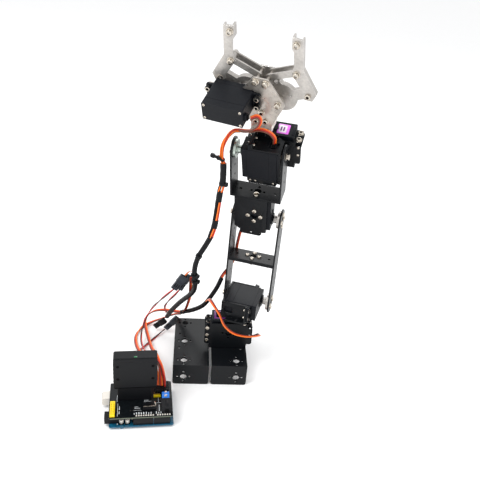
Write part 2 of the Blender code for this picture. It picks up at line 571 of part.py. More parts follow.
# Each cord: its route from the end nearer the gripper, its diameter, material and point spacing.
CORDS = {
    "lead_gripper": ([(-8.6, -36.5, 323.6), (-4, -35.5, 325), (-0.2, -33.5, 321), (-1.2, -31, 314),
                      (-6, -26, 308.5), (-12, -17, 304.5), (-16, -10, 302.5)], 3.2, "lead_orange", 4),
    "lead_wrist": ([(17.8, -19, 294.6), (16.8, -21.2, 300), (11, -22.3, 305.5), (2, -21, 307.6),
                    (-6, -16, 304.2), (-11.5, -9.5, 301.2), (-15.2, -5.4, 300.2)], 3.2, "lead_orange", 4),
    "harness_wrist": ([(-17.4, -6.2, 300.6), (-22.5, -5.6, 299.5), (-28.5, -6, 293), (-32.4, -7.4, 284),
                       (-33, -9, 273), (-30.6, -10, 266)], 4.6, "sleeve_black", 5),
    "harness_elbow": ([(-30.6, -10.1, 265), (-30.1, -10.5, 256), (-30.2, -11, 244), (-32, -12, 235),
                       (-33, -13, 225), (-34.2, -14.5, 210), (-36, -17, 196), (-38.9, -19, 185.9)],
                      5.6, "sleeve_black", 7),
    "harness_shoulder": ([(-39.1, -19.1, 185.2), (-44.4, -20, 174.2), (-50.4, -20, 162), (-54, -18.4, 148),
                          (-54.4, -15.5, 133), (-53, -12.2, 120)], 5.6, "sleeve_black", 7),
    "harness_waist": ([(-52.9, -11.6, 118.6), (-54, -5, 106), (-58.4, 3, 94), (-69, 18, 73), (-78.6, 31, 52),
                       (-85, 43, 32.6)], 5.6, "sleeve_black", 7),
    "lead_elbow": ([(-0.6, 21.4, 183.4), (-1.6, 23.4, 177), (-3.4, 26, 168), (-4.6, 28.8, 157), (-5.2, 31, 149),
                    (-5.4, 31.4, 145.2)], 3.2, "lead_orange", 4),
    "lead_shoulder": ([(-5.4, 31.5, 144.8), (-6, 32, 136), (-8, 32.4, 126), (-13, 31, 116), (-18.4, 27.4, 109.8),
                       (-20.6, 24.8, 107.4)], 3.2, "lead_orange", 4),
    "branch_waist": ([(-21.4, 22.6, 105.2), (-26, 19, 95), (-33, 17.6, 82), (-41, 20.4, 67.5), (-53, 29.5, 53.5),
                      (-66.5, 42.5, 40)], 5, "sleeve_black", 6),
    "lead_waist": ([(-37.2, 12, 80.6), (-35.4, 2, 89.5), (-33.4, -10, 95.2), (-30.2, -20, 96), (-24, -24, 88),
                    (-17, -25, 72.5), (-6, -25.2, 61.8), (8, -24.6, 57), (20, -21.5, 55), (26.6, -14.5, 51.5),
                    (26, -5, 44), (21, -0.6, 38.6), (14.2, 0, 37.3)], 3.2, "lead_orange", 5),
    "lead_plug_first": ([(-66.9, 42.9, 39.6), (-76, 50.5, 35), (-88.8, 58, 31), (-103, 68, 21.5), (-111.5, 70, 13),
                         (-115, 64, 8.5), (-112.6, 50, 6), (-108, 30, 6.8), (-103.4, 8, 12), (-98.4, -16, 24),
                         (-93.4, -40, 38), (-90, -56, 43), (-87.4, -67.4, 38), (-86.2, -73.6, 25.2)],
                        3.2, "lead_orange", 6),
    "lead_plug_second": ([(-67.9, 45.9, 35), (-76, 55, 27), (-92, 64, 13), (-107, 66, 4.2), (-119, 56, 2.2),
                          (-124.6, 40, 2.2), (-122.4, 20, 3.6), (-114, -6, 12), (-103, -34, 30), (-96, -54, 40),
                          (-91.6, -66, 36.5), (-89.8, -73, 25.2)], 3.2, "lead_orange", 6),
    "lead_plug_third": ([(-78, -7.6, 107.4), (-82.6, -5, 101), (-93, 10, 80), (-104, 28, 54), (-112.6, 38, 30),
                         (-116.8, 36, 13), (-116, 20, 8), (-109.6, -4, 14.5), (-102, -30, 34), (-96, -50, 46),
                         (-88, -64, 46), (-82, -73, 34), (-81.2, -75, 25.2)], 2.2, "sleeve_black", 6),
    "lead_power": ([(-89.6, 50, 4.4), (-98, 40, 2), (-109, 24, 1.6), (-121, 6, 1.6), (-128, -14, 3), (-131, -38, 12),
                    (-131.4, -56, 25), (-130.8, -66, 26.5), (-130.4, -70.5, 17.2)], 2.2, "sleeve_black", 5),
}


def plug_pair(name, start, end, width, thickness, parent):
    """Two joined plug housings on one line, the second a little slimmer."""
    start, end = Vector(start), Vector(end)
    along = (end - start).normalized()
    away = along.cross(Vector((0, 0, 1))).normalized()
    length = (end - start).length
    frame = child(parent, f"{name}_frame", matrix(start, away.cross(along).normalized(), away, along))
    first = block((-width / 2, -thickness / 2, 0), (width / 2, thickness / 2, length * 0.55))
    second = block((-width / 2 + 0.6, -thickness / 2 + 0.5, length * 0.5),
                   (width / 2 - 0.6, thickness / 2 - 0.5, length))
    part(name, combine(first, add=(second,)), "moulded_black", frame)


PLUG_PAIRS = {
    "joined_plugs_left": ((-65.2, -8.6, 127.6), (-77, -8.6, 109.4), 9, 4.4),
    "joined_plugs_right": ((-60.4, -3, 125.6), (-70.6, -3, 105), 8, 4),
    "joined_plugs_low": ((-88.2, 49.4, 21.2), (-101.6, 54.4, 6.2), 8, 4),
    "joined_plugs_rear": ((-71.4, 50.2, 25), (-87.4, 50.2, 6.6), 8, 4),
}


# ---------------------------------------------------------------- the assembly


def settle(assembly):
    """Moves the assembly so that the origin is under the middle of its box, cords left out."""
    bpy.context.view_layer.update()
    corners = [obj.matrix_world @ vertex.co for obj in bpy.data.objects if obj.type == "MESH"
               for vertex in obj.data.vertices]
    low = [min(corner[axis] for corner in corners) for axis in range(3)]
    high = [max(corner[axis] for corner in corners) for axis in range(3)]
    assembly.location = (-(low[0] + high[0]) / 2, -(low[1] + high[1]) / 2, -low[2])


def build():
    clear_scene()
    X, Y, Z = Vector((1, 0, 0)), Vector((0, 1, 0)), Vector((0, 0, 1))
    assembly = empty("assembly", Matrix())
    base = child(assembly, "base", Matrix())
    right_edge = CHANNEL_HOLE_INSET
    left_start = right_edge - 2 * CHANNEL_W - CHANNEL_GAP
    base_channel("base_channel_right", base, right_edge - CHANNEL_W, 0)
    base_channel("base_channel_left", base, left_start, left_start + CHANNEL_HOLE_INSET)

    # Joint 1: servo 1 stands on the right channel, its shaft up and its length to the left.
    ear_1 = CHANNEL_H + GAP + BOX_DEPTH
    servo_1 = child(assembly, "servo_1_frame", matrix((0, 0, ear_1), Z, -X, -Y))
    box_bracket(1, servo_1, 1)
    servo(1, servo_1)
    across = Vector((math.cos(WAIST_YAW), -math.sin(WAIST_YAW), 0))
    away = Vector((math.sin(WAIST_YAW), math.cos(WAIST_YAW), 0))
    horn_top_1 = ear_1 + HORN_TOP
    waist = child(assembly, "waist", matrix((0, 0, ear_1), Z, -across, -away))
    horn(1, waist)

    # Joint 2: servo 2 lies on the horn, its shaft to the right and its length towards the viewer.
    shoulder_z = horn_top_1 + GAP + BACK
    group_x = BOX_DEPTH / 2
    shoulder_at = across * (group_x - EAR_PLANE) + away * SERVO_MID + Z * shoulder_z
    servo_2 = child(assembly, "servo_2_frame", matrix(shoulder_at + across * EAR_PLANE, across, -away, -Z))
    box_bracket(2, servo_2, 1)
    servo(2, servo_2)
    pivot_pin(2, servo_2)

    def link_axes(lean):
        along = Z * math.cos(lean) + away * math.sin(lean)
        return across, away * math.cos(lean) - Z * math.sin(lean), along

    link_x, link_y, link_z = link_axes(SHOULDER_LEAN)
    link = child(assembly, "middle_link", matrix(shoulder_at, link_x, link_y, link_z))
    web = PIVOT_TO_WEB
    span = 2 * web + GAP
    u_bracket("lower_long_bracket", link, web - SHEET, web, 0)
    u_bracket("upper_long_bracket", link, web + GAP, web + GAP + SHEET, span)
    horn(2, child(assembly, "horn_2_frame", matrix(shoulder_at + link_x * EAR_PLANE, link_x, -link_y, -link_z)))
    elbow_at = shoulder_at + link_z * span
    horn(3, child(assembly, "horn_3_frame", matrix(elbow_at + link_x * EAR_PLANE, link_x, link_z, -link_y)))

    # Joint 3: servo 3 stands up from the elbow, its bracket's back wall towards the viewer.
    fore_x, fore_y, fore_z = link_axes(ELBOW_LEAN)
    servo_3 = child(assembly, "servo_3_frame", matrix(elbow_at + fore_x * EAR_PLANE, fore_x, fore_z, -fore_y))
    box_bracket(3, servo_3, 1, upper_tab=False)
    servo(3, servo_3, upper_ear=False)
    pivot_pin(3, servo_3)
    web_3 = SERVO_MID + BOX_HALF_L + GAP
    forearm_at = elbow_at - fore_x * 1.3
    forearm = child(assembly, "forearm", matrix(forearm_at, fore_x, fore_y, fore_z))
    wrist_height = web_3 + web
    u_bracket("forearm_bracket", forearm, web_3, web_3 + SHEET, wrist_height)

    # Joint 4: servo 4 hangs down between the forearm's arms, its shaft to the left.
    wrist_at = forearm_at + fore_z * wrist_height
    horn(4, child(assembly, "horn_4_frame", matrix(wrist_at - fore_x * EAR_PLANE, -fore_x, -fore_z, -fore_y)))
    hand_x, hand_y, hand_z = link_axes(WRIST_LEAN)
    servo_4 = child(assembly, "servo_4_frame", matrix(wrist_at - hand_x * EAR_PLANE, -hand_x, -hand_z, -hand_y))
    box_bracket(4, servo_4, -1)
    servo(4, servo_4)
    pivot_pin(4, servo_4)

    # Joint 5: servo 5 stands behind it, back to back, its shaft up and its length to the right.
    roll_at = wrist_at + hand_x * ROLL_X + hand_y * WRIST_TO_ROLL_Y
    servo_5 = child(assembly, "servo_5_frame", matrix(roll_at + hand_z * WRIST_TO_ROLL_Z, hand_z, hand_x, hand_y))
    box_bracket(5, servo_5, -1)
    servo(5, servo_5)
    grip_x = hand_x * math.cos(GRIP_YAW) - hand_y * math.sin(GRIP_YAW)
    grip_y = hand_x * math.sin(GRIP_YAW) + hand_y * math.cos(GRIP_YAW)
    horn(5, child(assembly, "horn_5_frame", matrix(roll_at + hand_z * WRIST_TO_ROLL_Z, hand_z, grip_x, grip_y)))
    grip_at = roll_at + grip_x * GRIP_X
    grip = child(assembly, "gripper", matrix(grip_at, grip_x, grip_y, hand_z))
    gripper_frame(grip)

    # Joint 6: servo 6 in front of the gripper's plate drives the left gear.
    servo_6_at = grip_at - grip_x * GEAR_X + hand_z * GEAR_Z + grip_y * (GEAR_Y - EAR_TO_GEAR)
    servo_6 = child(assembly, "servo_6_frame", matrix(servo_6_at, grip_y, -grip_x, hand_z))
    servo(6, servo_6)
    disc = rod((0, 0), 8.5, HORN_BOTTOM, EAR_TO_GEAR - GEAR_HALF_T - GAP, "X", 20)
    hub = rod((0, 0), 2.6, EAR_TO_GEAR - GEAR_HALF_T - 1, EAR_TO_GEAR + GEAR_HALF_T, "X", 14)
    part("horn_6", combine(disc, add=(hub,)), "bare_aluminium", servo_6)
    for side, name in ((-1, "left"), (1, "right")):
        gripper_side(side, name, grip)

    board_axes = (Vector((math.cos(BOARD_YAW), math.sin(BOARD_YAW), 0)),
                  Vector((-math.sin(BOARD_YAW), math.cos(BOARD_YAW), 0)), Z)
    controller(child(assembly, "controller", matrix(BOARD_AT, *board_axes)))

    for name, (start, end, width, thickness) in PLUG_PAIRS.items():
        plug_pair(name, start, end, width, thickness, assembly)
    settle(assembly)
    for name, (route, diameter, material, spacing) in CORDS.items():
        cord(name, route, diameter, material, spacing, assembly)


build()
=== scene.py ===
"""Looks for the six-servo desktop robot arm: camera, light, wiring, fasteners, board parts and materials.

Places are in millimetres, in the frame whose origin is on the floor under the waist axis, and they become
metres through AT. A servo frame has +X along the output shaft with zero at the bracket's ear plane and +Y
along the servo's length away from the shaft.
"""

import json
import math

import bmesh
import bpy
from mathutils import Matrix, Vector
from mathutils.geometry import interpolate_bezier


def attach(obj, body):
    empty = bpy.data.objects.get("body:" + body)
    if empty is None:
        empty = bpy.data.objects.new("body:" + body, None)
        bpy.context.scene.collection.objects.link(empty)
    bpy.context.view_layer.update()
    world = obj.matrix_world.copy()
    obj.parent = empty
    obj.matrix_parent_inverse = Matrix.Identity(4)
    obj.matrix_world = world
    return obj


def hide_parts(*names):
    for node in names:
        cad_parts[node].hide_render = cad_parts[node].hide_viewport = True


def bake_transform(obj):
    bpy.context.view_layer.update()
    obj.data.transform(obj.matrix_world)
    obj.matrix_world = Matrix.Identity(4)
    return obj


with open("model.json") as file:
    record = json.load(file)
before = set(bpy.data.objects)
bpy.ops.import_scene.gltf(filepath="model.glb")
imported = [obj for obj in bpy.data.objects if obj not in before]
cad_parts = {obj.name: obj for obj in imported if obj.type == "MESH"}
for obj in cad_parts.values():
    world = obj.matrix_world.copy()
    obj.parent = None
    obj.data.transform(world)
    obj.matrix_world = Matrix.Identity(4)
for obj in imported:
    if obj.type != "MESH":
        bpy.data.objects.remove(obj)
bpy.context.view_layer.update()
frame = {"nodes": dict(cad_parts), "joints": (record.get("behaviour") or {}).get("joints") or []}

MM, PER_METRE = 0.001, 1000
WAIST = Vector(next(j["pos_m"] for j in frame["joints"] if j["name"] == "base_yaw"))
AT = Matrix.Translation((WAIST.x, WAIST.y, 0)) @ Matrix.Scale(MM, 4)
X, Y, Z = Vector((1, 0, 0)), Vector((0, 1, 0)), Vector((0, 0, 1))
ROUND = 24  # sides of a turned shape

# Sizes and places in millimetres and angles in degrees that the CAD has too
SERVO_MID = 10.15
SERVO_BOTTOM, SERVO_TOP = -26.7, 9.7
CASE_LOW, CASE_HIGH, CASE_HALF = -10.2, 30.5, 9.85
EAR_SPAN, EAR_SIDE = 24.5, 5
HORN_TOP, HORN_OUT = 18.85, 19.15
BACK, BOX_DEPTH = 12.5, 30.5
TAB = SERVO_MID + 25.6
ARM_IN, ARM_OUT, WEB = 25.65, 27.65, 53.0
EAR_PLANE = ARM_IN - HORN_OUT
GAP = 0.3
GEAR_X, GEAR_Y, GEAR_Z = 16.8, -4.8, 61.0
LINK_X, LINK_Z = 5.0, 82.5
REACH, TIP_RISE = Vector((26.4, 0, 11.2)), Vector((-0.9, 0, 30.4))
GRIP_X = 0.9
PLATE_FACE, FINGER_FACE = GEAR_Y - 13.9, GEAR_Y - 6.7
PLUS = ((7, 0), (-7, 0), (0, 7), (0, -7))
WAIST_HEIGHT, WAIST_YAW = 59.3, 18.5
LINK_LEAN, FOREARM_LEAN, WRIST_LEAN, GRIPPER_YAW = 3.4, -15.7, -25.8, 5.7
BOARD_PLACE, BOARD_TURN = (-138.3, -117.4, 0), 5.0
BOARD_TOP, SHIELD_TOP, PITCH = 3.9, 16.3, 2.54
RECEIVER_FACE = 24

# The camera's place in millimetres, its lens in millimetres and its angles in degrees
CAMERA_PLACE, CAMERA_LENS = (-64.2, -569.0, 489.1), 44.03
CAMERA_YAW, CAMERA_PITCH, CAMERA_ROLL = 5.89, 28.98, 5.34


def matrix(origin, x, y, z):
    """A frame in millimetres from its origin and its three axes."""
    made = Matrix((x, y, z)).transposed().to_4x4()
    made.translation = Vector(origin)
    return made


def frames():
    """Every servo's and link's frame, from the same chain of axes as the CAD."""
    yaw = math.radians(WAIST_YAW)
    across = Vector((math.cos(yaw), -math.sin(yaw), 0))
    away = Vector((math.sin(yaw), math.cos(yaw), 0))

    def axes(lean):
        lean = math.radians(lean)
        along = Z * math.cos(lean) + away * math.sin(lean)
        return across, away * math.cos(lean) - Z * math.sin(lean), along

    made = {"servo_1": matrix((0, 0, WAIST_HEIGHT), Z, -X, -Y)}
    shoulder_height = WAIST_HEIGHT + HORN_TOP + GAP + BACK
    shoulder = across * (BOX_DEPTH / 2 - EAR_PLANE) + away * SERVO_MID + Z * shoulder_height
    made["servo_2"] = matrix(shoulder + across * EAR_PLANE, across, -away, -Z)
    lx, ly, lz = axes(LINK_LEAN)
    made["middle_link"] = matrix(shoulder, lx, ly, lz)
    elbow = shoulder + lz * (2 * WEB + GAP)
    made["elbow"] = matrix(elbow, lx, ly, lz)
    fx, fy, fz = axes(FOREARM_LEAN)
    made["servo_3"] = matrix(elbow + fx * EAR_PLANE, fx, fz, -fy)
    forearm = elbow - fx * 1.3
    made["forearm"] = matrix(forearm, fx, fy, fz)
    wrist = forearm + fz * (33.1 + WEB)
    made["wrist"] = matrix(wrist, fx, fy, fz)
    hx, hy, hz = axes(WRIST_LEAN)
    made["servo_4"] = matrix(wrist - hx * EAR_PLANE, -hx, -hz, -hy)
    roll = wrist + hx * 1.4 + hy * (2 * BACK + GAP)
    made["servo_5"] = matrix(roll + hz * 2.9, hz, hx, hy)
    yaw = math.radians(GRIPPER_YAW)
    gx, gy = hx * math.cos(yaw) - hy * math.sin(yaw), hx * math.sin(yaw) + hy * math.cos(yaw)
    grip = roll + gx * GRIP_X
    made["gripper"] = matrix(grip, gx, gy, hz)
    made["servo_6"] = matrix(grip - gx * GEAR_X + hz * GEAR_Z + gy * (GEAR_Y - 17.0), gy, -gx, hz)
    turn = math.radians(BOARD_TURN)
    made["controller"] = matrix(BOARD_PLACE, (math.cos(turn), math.sin(turn), 0),
                                (-math.sin(turn), math.cos(turn), 0), Z)
    return {name: AT @ m for name, m in made.items()}


FRAME = frames()
SERVO_BODY = {"servo_1": "base", "servo_2": "waist", "servo_3": "forearm", "servo_4": "wrist",
              "servo_5": "wrist", "servo_6": "gripper"}


# ------ camera, light and floor


def camera():
    data = bpy.data.cameras.new("camera")
    data.sensor_width = 36
    data.lens = CAMERA_LENS
    data.clip_start, data.clip_end = 0.05, 50
    obj = bpy.data.objects.new("camera", data)
    yaw, pitch, roll = (math.radians(a) for a in (CAMERA_YAW, CAMERA_PITCH, CAMERA_ROLL))
    ahead = Vector((math.sin(yaw) * math.cos(pitch), math.cos(yaw) * math.cos(pitch), -math.sin(pitch)))
    right = Vector((math.cos(yaw), -math.sin(yaw), 0))
    up = right.cross(ahead)
    side = right * math.cos(roll) + up * math.sin(roll)
    top = up * math.cos(roll) - right * math.sin(roll)
    pose = Matrix((side, top, -ahead)).transposed().to_4x4()
    pose.translation = AT @ Vector(CAMERA_PLACE)
    obj.matrix_world = pose
    bpy.context.scene.collection.objects.link(obj)
    bpy.context.scene.camera = obj


def area_light(name, place, aim, size, watts):
    data = bpy.data.lights.new(name, "AREA")
    data.shape = "DISK"
    data.size = size
    data.energy = watts
    obj = bpy.data.objects.new(name, data)
    obj.location = place
    obj.rotation_euler = (Vector(aim) - Vector(place)).to_track_quat("-Z", "Y").to_euler()
    bpy.context.scene.collection.objects.link(obj)


def studio():
    scene = bpy.context.scene
    scene.view_settings.view_transform = "Standard"
    world = bpy.data.worlds.new("studio")
    world.use_nodes = True
    back = world.node_tree.nodes["Background"]
    back.inputs["Color"].default_value = (0.99, 0.995, 1, 1)
    back.inputs["Strength"].default_value = 1.0
    scene.world = world
    area_light("key", (-0.8, -0.4, 1.6), (0, 0, 0.15), size=0.9, watts=17)
    area_light("fill", (1.3, -0.9, 1.2), (0, 0, 0.2), size=1.2, watts=5)
    area_light("rim", (0.3, 1.5, 1.3), (0, 0, 0.2), size=1, watts=6)
    bm = bmesh.new()
    bmesh.ops.create_grid(bm, x_segments=8, y_segments=8, size=9)
    floor = object_of("floor", bm, Matrix())
    white = material("floor_white", (0.965, 0.965, 0.965), 0.6, grain=0.01, scale=40, bump=0)
    floor.data.materials.append(white)


# ------ materials


def node(tree, kind, **values):
    made = tree.nodes.new(kind)
    for name, value in values.items():
        setattr(made, name, value)
    return made


def ramp_between(tree, factor, low, high, start=0.35, end=0.65):
    ramp = node(tree, "ShaderNodeValToRGB")
    ramp.color_ramp.elements[0].position = start
    ramp.color_ramp.elements[1].position = end
    ramp.color_ramp.elements[0].color = (*low, 1)
    ramp.color_ramp.elements[1].color = (*high, 1)
    tree.links.new(factor, ramp.inputs["Fac"])
    return ramp.outputs["Color"]


def material(name, colour, roughness, metallic=0.0, scale=900, grain=0.2, bump=0.04, rough_by=0.08,
             coat=0.0, patches=0.0, patch_scale=60, specular=0.5):
    """A surface with fine grain, broad patches, and roughness and bump that follow them.

    Scales are per metre. A name that the CAD has already keeps its material, with new nodes in it."""
    made = bpy.data.materials.get(name) or bpy.data.materials.new(name)
    made.use_nodes = True
    tree = made.node_tree
    tree.nodes.clear()
    out = node(tree, "ShaderNodeOutputMaterial")
    shader = node(tree, "ShaderNodeBsdfPrincipled")
    tree.links.new(shader.outputs["BSDF"], out.inputs["Surface"])
    where = node(tree, "ShaderNodeTexCoord")
    fine = node(tree, "ShaderNodeTexNoise")
    fine.inputs["Scale"].default_value = scale
    fine.inputs["Detail"].default_value = 5
    fine.inputs["Roughness"].default_value = 0.6
    tree.links.new(where.outputs["Object"], fine.inputs["Vector"])
    broad = node(tree, "ShaderNodeTexNoise")
    broad.inputs["Scale"].default_value = patch_scale
    broad.inputs["Detail"].default_value = 3
    tree.links.new(where.outputs["Object"], broad.inputs["Vector"])
    base = Vector(colour)
    grainy = ramp_between(tree, fine.outputs["Fac"], base * (1 - grain), base * (1 + grain * 0.7))
    mix = node(tree, "ShaderNodeMix", data_type="RGBA", blend_type="MULTIPLY")
    mix.inputs["Factor"].default_value = 1
    low = 1 - patches
    tinted = ramp_between(tree, broad.outputs["Fac"], (low, low, low), (1, 1, 1), 0.3, 0.7)
    tree.links.new(grainy, mix.inputs["A"])
    tree.links.new(tinted, mix.inputs["B"])
    tree.links.new(mix.outputs["Result"], shader.inputs["Base Color"])
    span = node(tree, "ShaderNodeMapRange")
    span.inputs["To Min"].default_value = max(0.02, roughness - rough_by)
    span.inputs["To Max"].default_value = min(1, roughness + rough_by)
    tree.links.new(fine.outputs["Fac"], span.inputs["Value"])
    tree.links.new(span.outputs["Result"], shader.inputs["Roughness"])
    if bump:
        raised = node(tree, "ShaderNodeBump")
        raised.inputs["Strength"].default_value = bump
        raised.inputs["Distance"].default_value = 0.0004
        tree.links.new(fine.outputs["Fac"], raised.inputs["Height"])
        tree.links.new(raised.outputs["Normal"], shader.inputs["Normal"])
    shader.inputs["Metallic"].default_value = metallic
    shader.inputs["Coat Weight"].default_value = coat
    shader.inputs["Specular IOR Level"].default_value = specular
    return made


def finishes():
    """One finish for each of the record's slots, under the slot's own name, and the small extra ones."""
    material("black_bracket", (0.0048, 0.0058, 0.0074), 0.34, scale=2600, grain=0.25, bump=0.1, rough_by=0.07,
             patches=0.25, specular=0.19)
    # Lighter finish for the brackets' eased edges, with random patches: a painted highlight.
    material("bracket_edge_highlight", (0.1, 0.104, 0.11), 0.3, metallic=0.5, scale=700, grain=0.7, bump=0.1, patches=0.7,
             patch_scale=140)
    material("servo_black", (0.0042, 0.0054, 0.0084), 0.42, scale=3200, grain=0.3, bump=0.16, rough_by=0.06,
             patches=0.1, specular=0.18)
    # Lighter finish for the servos' eased edges: a painted highlight.
    material("servo_edge", (0.009, 0.0115, 0.017), 0.36, scale=2600, grain=0.3, bump=0.1, specular=0.32)
    material("bare_aluminium", (0.56, 0.532, 0.5), 0.34, metallic=0.76, scale=420, grain=0.12, bump=0.06,
             rough_by=0.14, patches=0.24, patch_scale=75)
    material("front_plate", (0.6, 0.555, 0.505), 0.3, metallic=0.82, scale=300, grain=0.1, bump=0.06,
             rough_by=0.12, patches=0.26, patch_scale=80)
    # Much lighter, glossier finish for the aluminium's eased edges: a painted highlight.
    material("aluminium_edge_highlight", (0.86, 0.85, 0.83), 0.2, metallic=0.95, scale=500, grain=0.1, bump=0.03)
    material("steel", (0.6, 0.545, 0.47), 0.2, metallic=1.0, scale=2600, grain=0.12, bump=0.02, patches=0.15,
             patch_scale=300)
    material("tin_plate", (0.74, 0.7, 0.64), 0.34, metallic=0.55, scale=3000, grain=0.05, bump=0.02)
    material("board_blue", (0.004, 0.105, 0.195), 0.32, scale=420, grain=0.3, bump=0.06, coat=0.2,
             patches=0.3, patch_scale=160)
    material("shield_black", (0.0035, 0.005, 0.0062), 0.3, scale=500, grain=0.4, bump=0.05, coat=0.06,
             specular=0.24)
    material("board_edge", (0.11, 0.13, 0.09), 0.5, scale=1500, grain=0.3, bump=0.05)
    material("moulded_black", (0.005, 0.0055, 0.007), 0.4, scale=2800, grain=0.25, bump=0.1,
             specular=0.19)
    material("header_yellow", (0.92, 0.68, 0.005), 0.36, scale=1200, grain=0.08, bump=0.05)
    material("terminal_blue", (0.005, 0.17, 0.68), 0.36, scale=1300, grain=0.12, bump=0.05)
    material("lead_orange", (0.95, 0.185, 0.012), 0.38, grain=0.1, bump=0.03, patches=0.08)
    material("lead_red", (0.6, 0.016, 0.008), 0.38, grain=0.12, bump=0.03, patches=0.1)
    material("lead_brown", (0.16, 0.045, 0.02), 0.42, grain=0.15, bump=0.03, patches=0.1)
    material("lead_black", (0.008, 0.008, 0.01), 0.42, bump=0.03)
    material("lead_white", (0.75, 0.73, 0.7), 0.45, grain=0.08, bump=0.03)
    material("sleeve_black", (0.0055, 0.006, 0.0075), 0.42, scale=1500, grain=0.25, bump=0.08, specular=0.17)
    material("plug_grey", (0.018, 0.023, 0.033), 0.4, scale=1800, bump=0.08, specular=0.35)
    # Near black: real seams, glands and label print, and also painted shade in hex recesses, socket mouths,
    # plug windows and screw holes.
    material("near_black_and_painted_shade", (0.0015, 0.0015, 0.002), 0.8, scale=1500, bump=0.02, specular=0.1)
    material("gold_pin", (0.85, 0.55, 0.16), 0.25, metallic=1.0, scale=1500, grain=0.1, bump=0.02)
    material("label_violet", (0.86, 0.17, 0.88), 0.3, scale=600, grain=0.1, bump=0.02, coat=0.4)
    material("label_dark_violet", (0.16, 0.02, 0.2), 0.3, scale=600, grain=0.15, bump=0.02, coat=0.3)
    material("label_white", (0.85, 0.8, 0.86), 0.35, scale=600, grain=0.05, bump=0.02, coat=0.3)
    material("silk_white", (0.8, 0.84, 0.86), 0.5, bump=0.02)
    material("black_screw", (0.012, 0.0125, 0.014), 0.26, metallic=0.6, scale=2600, bump=0.03)
    material("led_green", (0.01, 0.16, 0.05), 0.2, bump=0.02, coat=0.6)
    material("horn_green", (0.5, 0.56, 0.51), 0.3, metallic=0.88, grain=0.1, bump=0.02)


# Nodes whose finish isn't their slot's, and the finish that the edges of a finish get, which for black
# brackets, aluminium and servos is a lighter one: a painted highlight
OWN_FINISH = {"usb_socket": "tin_plate", "horn_4": "horn_green", "gripper_front_plate": "front_plate"}
EDGE_HIGHLIGHTS = {"black_bracket": "bracket_edge_highlight", "bare_aluminium": "aluminium_edge_highlight", "servo_black": "servo_edge"}


def finish_nodes():
    """Every CAD node keeps its shape, gets its slot's finish, and its bends and cut edges are eased, in a
    lighter finish on brackets, aluminium and servos that paints a highlight on them.
    """
    for node_name, obj in frame["nodes"].items():
        names = [slot.material.name.split(".")[0] for slot in obj.material_slots if slot.material]
        name = names[0] if names else "black_bracket"
        obj.material_slots[0].material = bpy.data.materials[OWN_FINISH.get(node_name, name)]
        ease(obj, EDGE_HIGHLIGHTS.get(name, name), 0.28 if name == "servo_black" else 0.2)


def ease(obj, edge_name, width):
    """A small round on every sharp edge, in the edge's own finish, which is lighter than the face's on
    brackets, aluminium and servos: a painted highlight.
    """
    obj.data.materials.append(bpy.data.materials[edge_name])
    weld = obj.modifiers.new("weld", "WELD")
    weld.merge_threshold = 1e-6
    flat = obj.modifiers.new("flat", "DECIMATE")
    flat.decimate_type = "DISSOLVE"
    flat.angle_limit = math.radians(0.6)
    bevel = obj.modifiers.new("ease", "BEVEL")
    bevel.width = width * MM
    bevel.segments = 2
    bevel.limit_method = "ANGLE"
    bevel.angle_limit = math.radians(38)
    bevel.material = 1
    bevel.harden_normals = True
    bevel.use_clamp_overlap = True


# ------ shapes


def object_of(name, bm, place, materials=()):
    """A mesh object from a bmesh, with its place put into the mesh."""
    bmesh.ops.transform(bm, matrix=place, verts=bm.verts)
    bmesh.ops.recalc_face_normals(bm, faces=bm.faces)
    mesh = bpy.data.meshes.new(name)
    bm.to_mesh(mesh)
    bm.free()
    mesh.shade_smooth()
    mesh.set_sharp_from_angle(angle=math.radians(40))
    for item in materials:
        mesh.materials.append(bpy.data.materials[item])
    obj = bpy.data.objects.new(name, mesh)
    bpy.context.scene.collection.objects.link(obj)
    return obj


def piece(name, bm, place, body, materials):
    """A piece that rides on a body, made in a named frame or in a matrix."""
    obj = object_of(name, bm, FRAME[place] if isinstance(place, str) else place, materials)
    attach(obj, body)
    return obj


def loft(bm, rings, index=0, low_cap=True, high_cap=True):
    """Faces between rings of as many points each."""
    made = [[bm.verts.new(p) for p in ring] for ring in rings]
    for a, b in zip(made, made[1:]):
        for i in range(len(a)):
            j = (i + 1) % len(a)
            bm.faces.new((a[i], a[j], b[j], b[i])).material_index = index
    if low_cap:
        bm.faces.new(list(reversed(made[0]))).material_index = index
    if high_cap:
        bm.faces.new(made[-1]).material_index = index


def angles(sides):
    return [2 * math.pi * i / sides for i in range(sides)]


def basis(normal):
    """Two directions square to a normal."""
    normal = Vector(normal).normalized()
    side = (normal.cross(Z) if abs(normal.z) < 0.9 else normal.orthogonal()).normalized()
    return side, normal.cross(side)


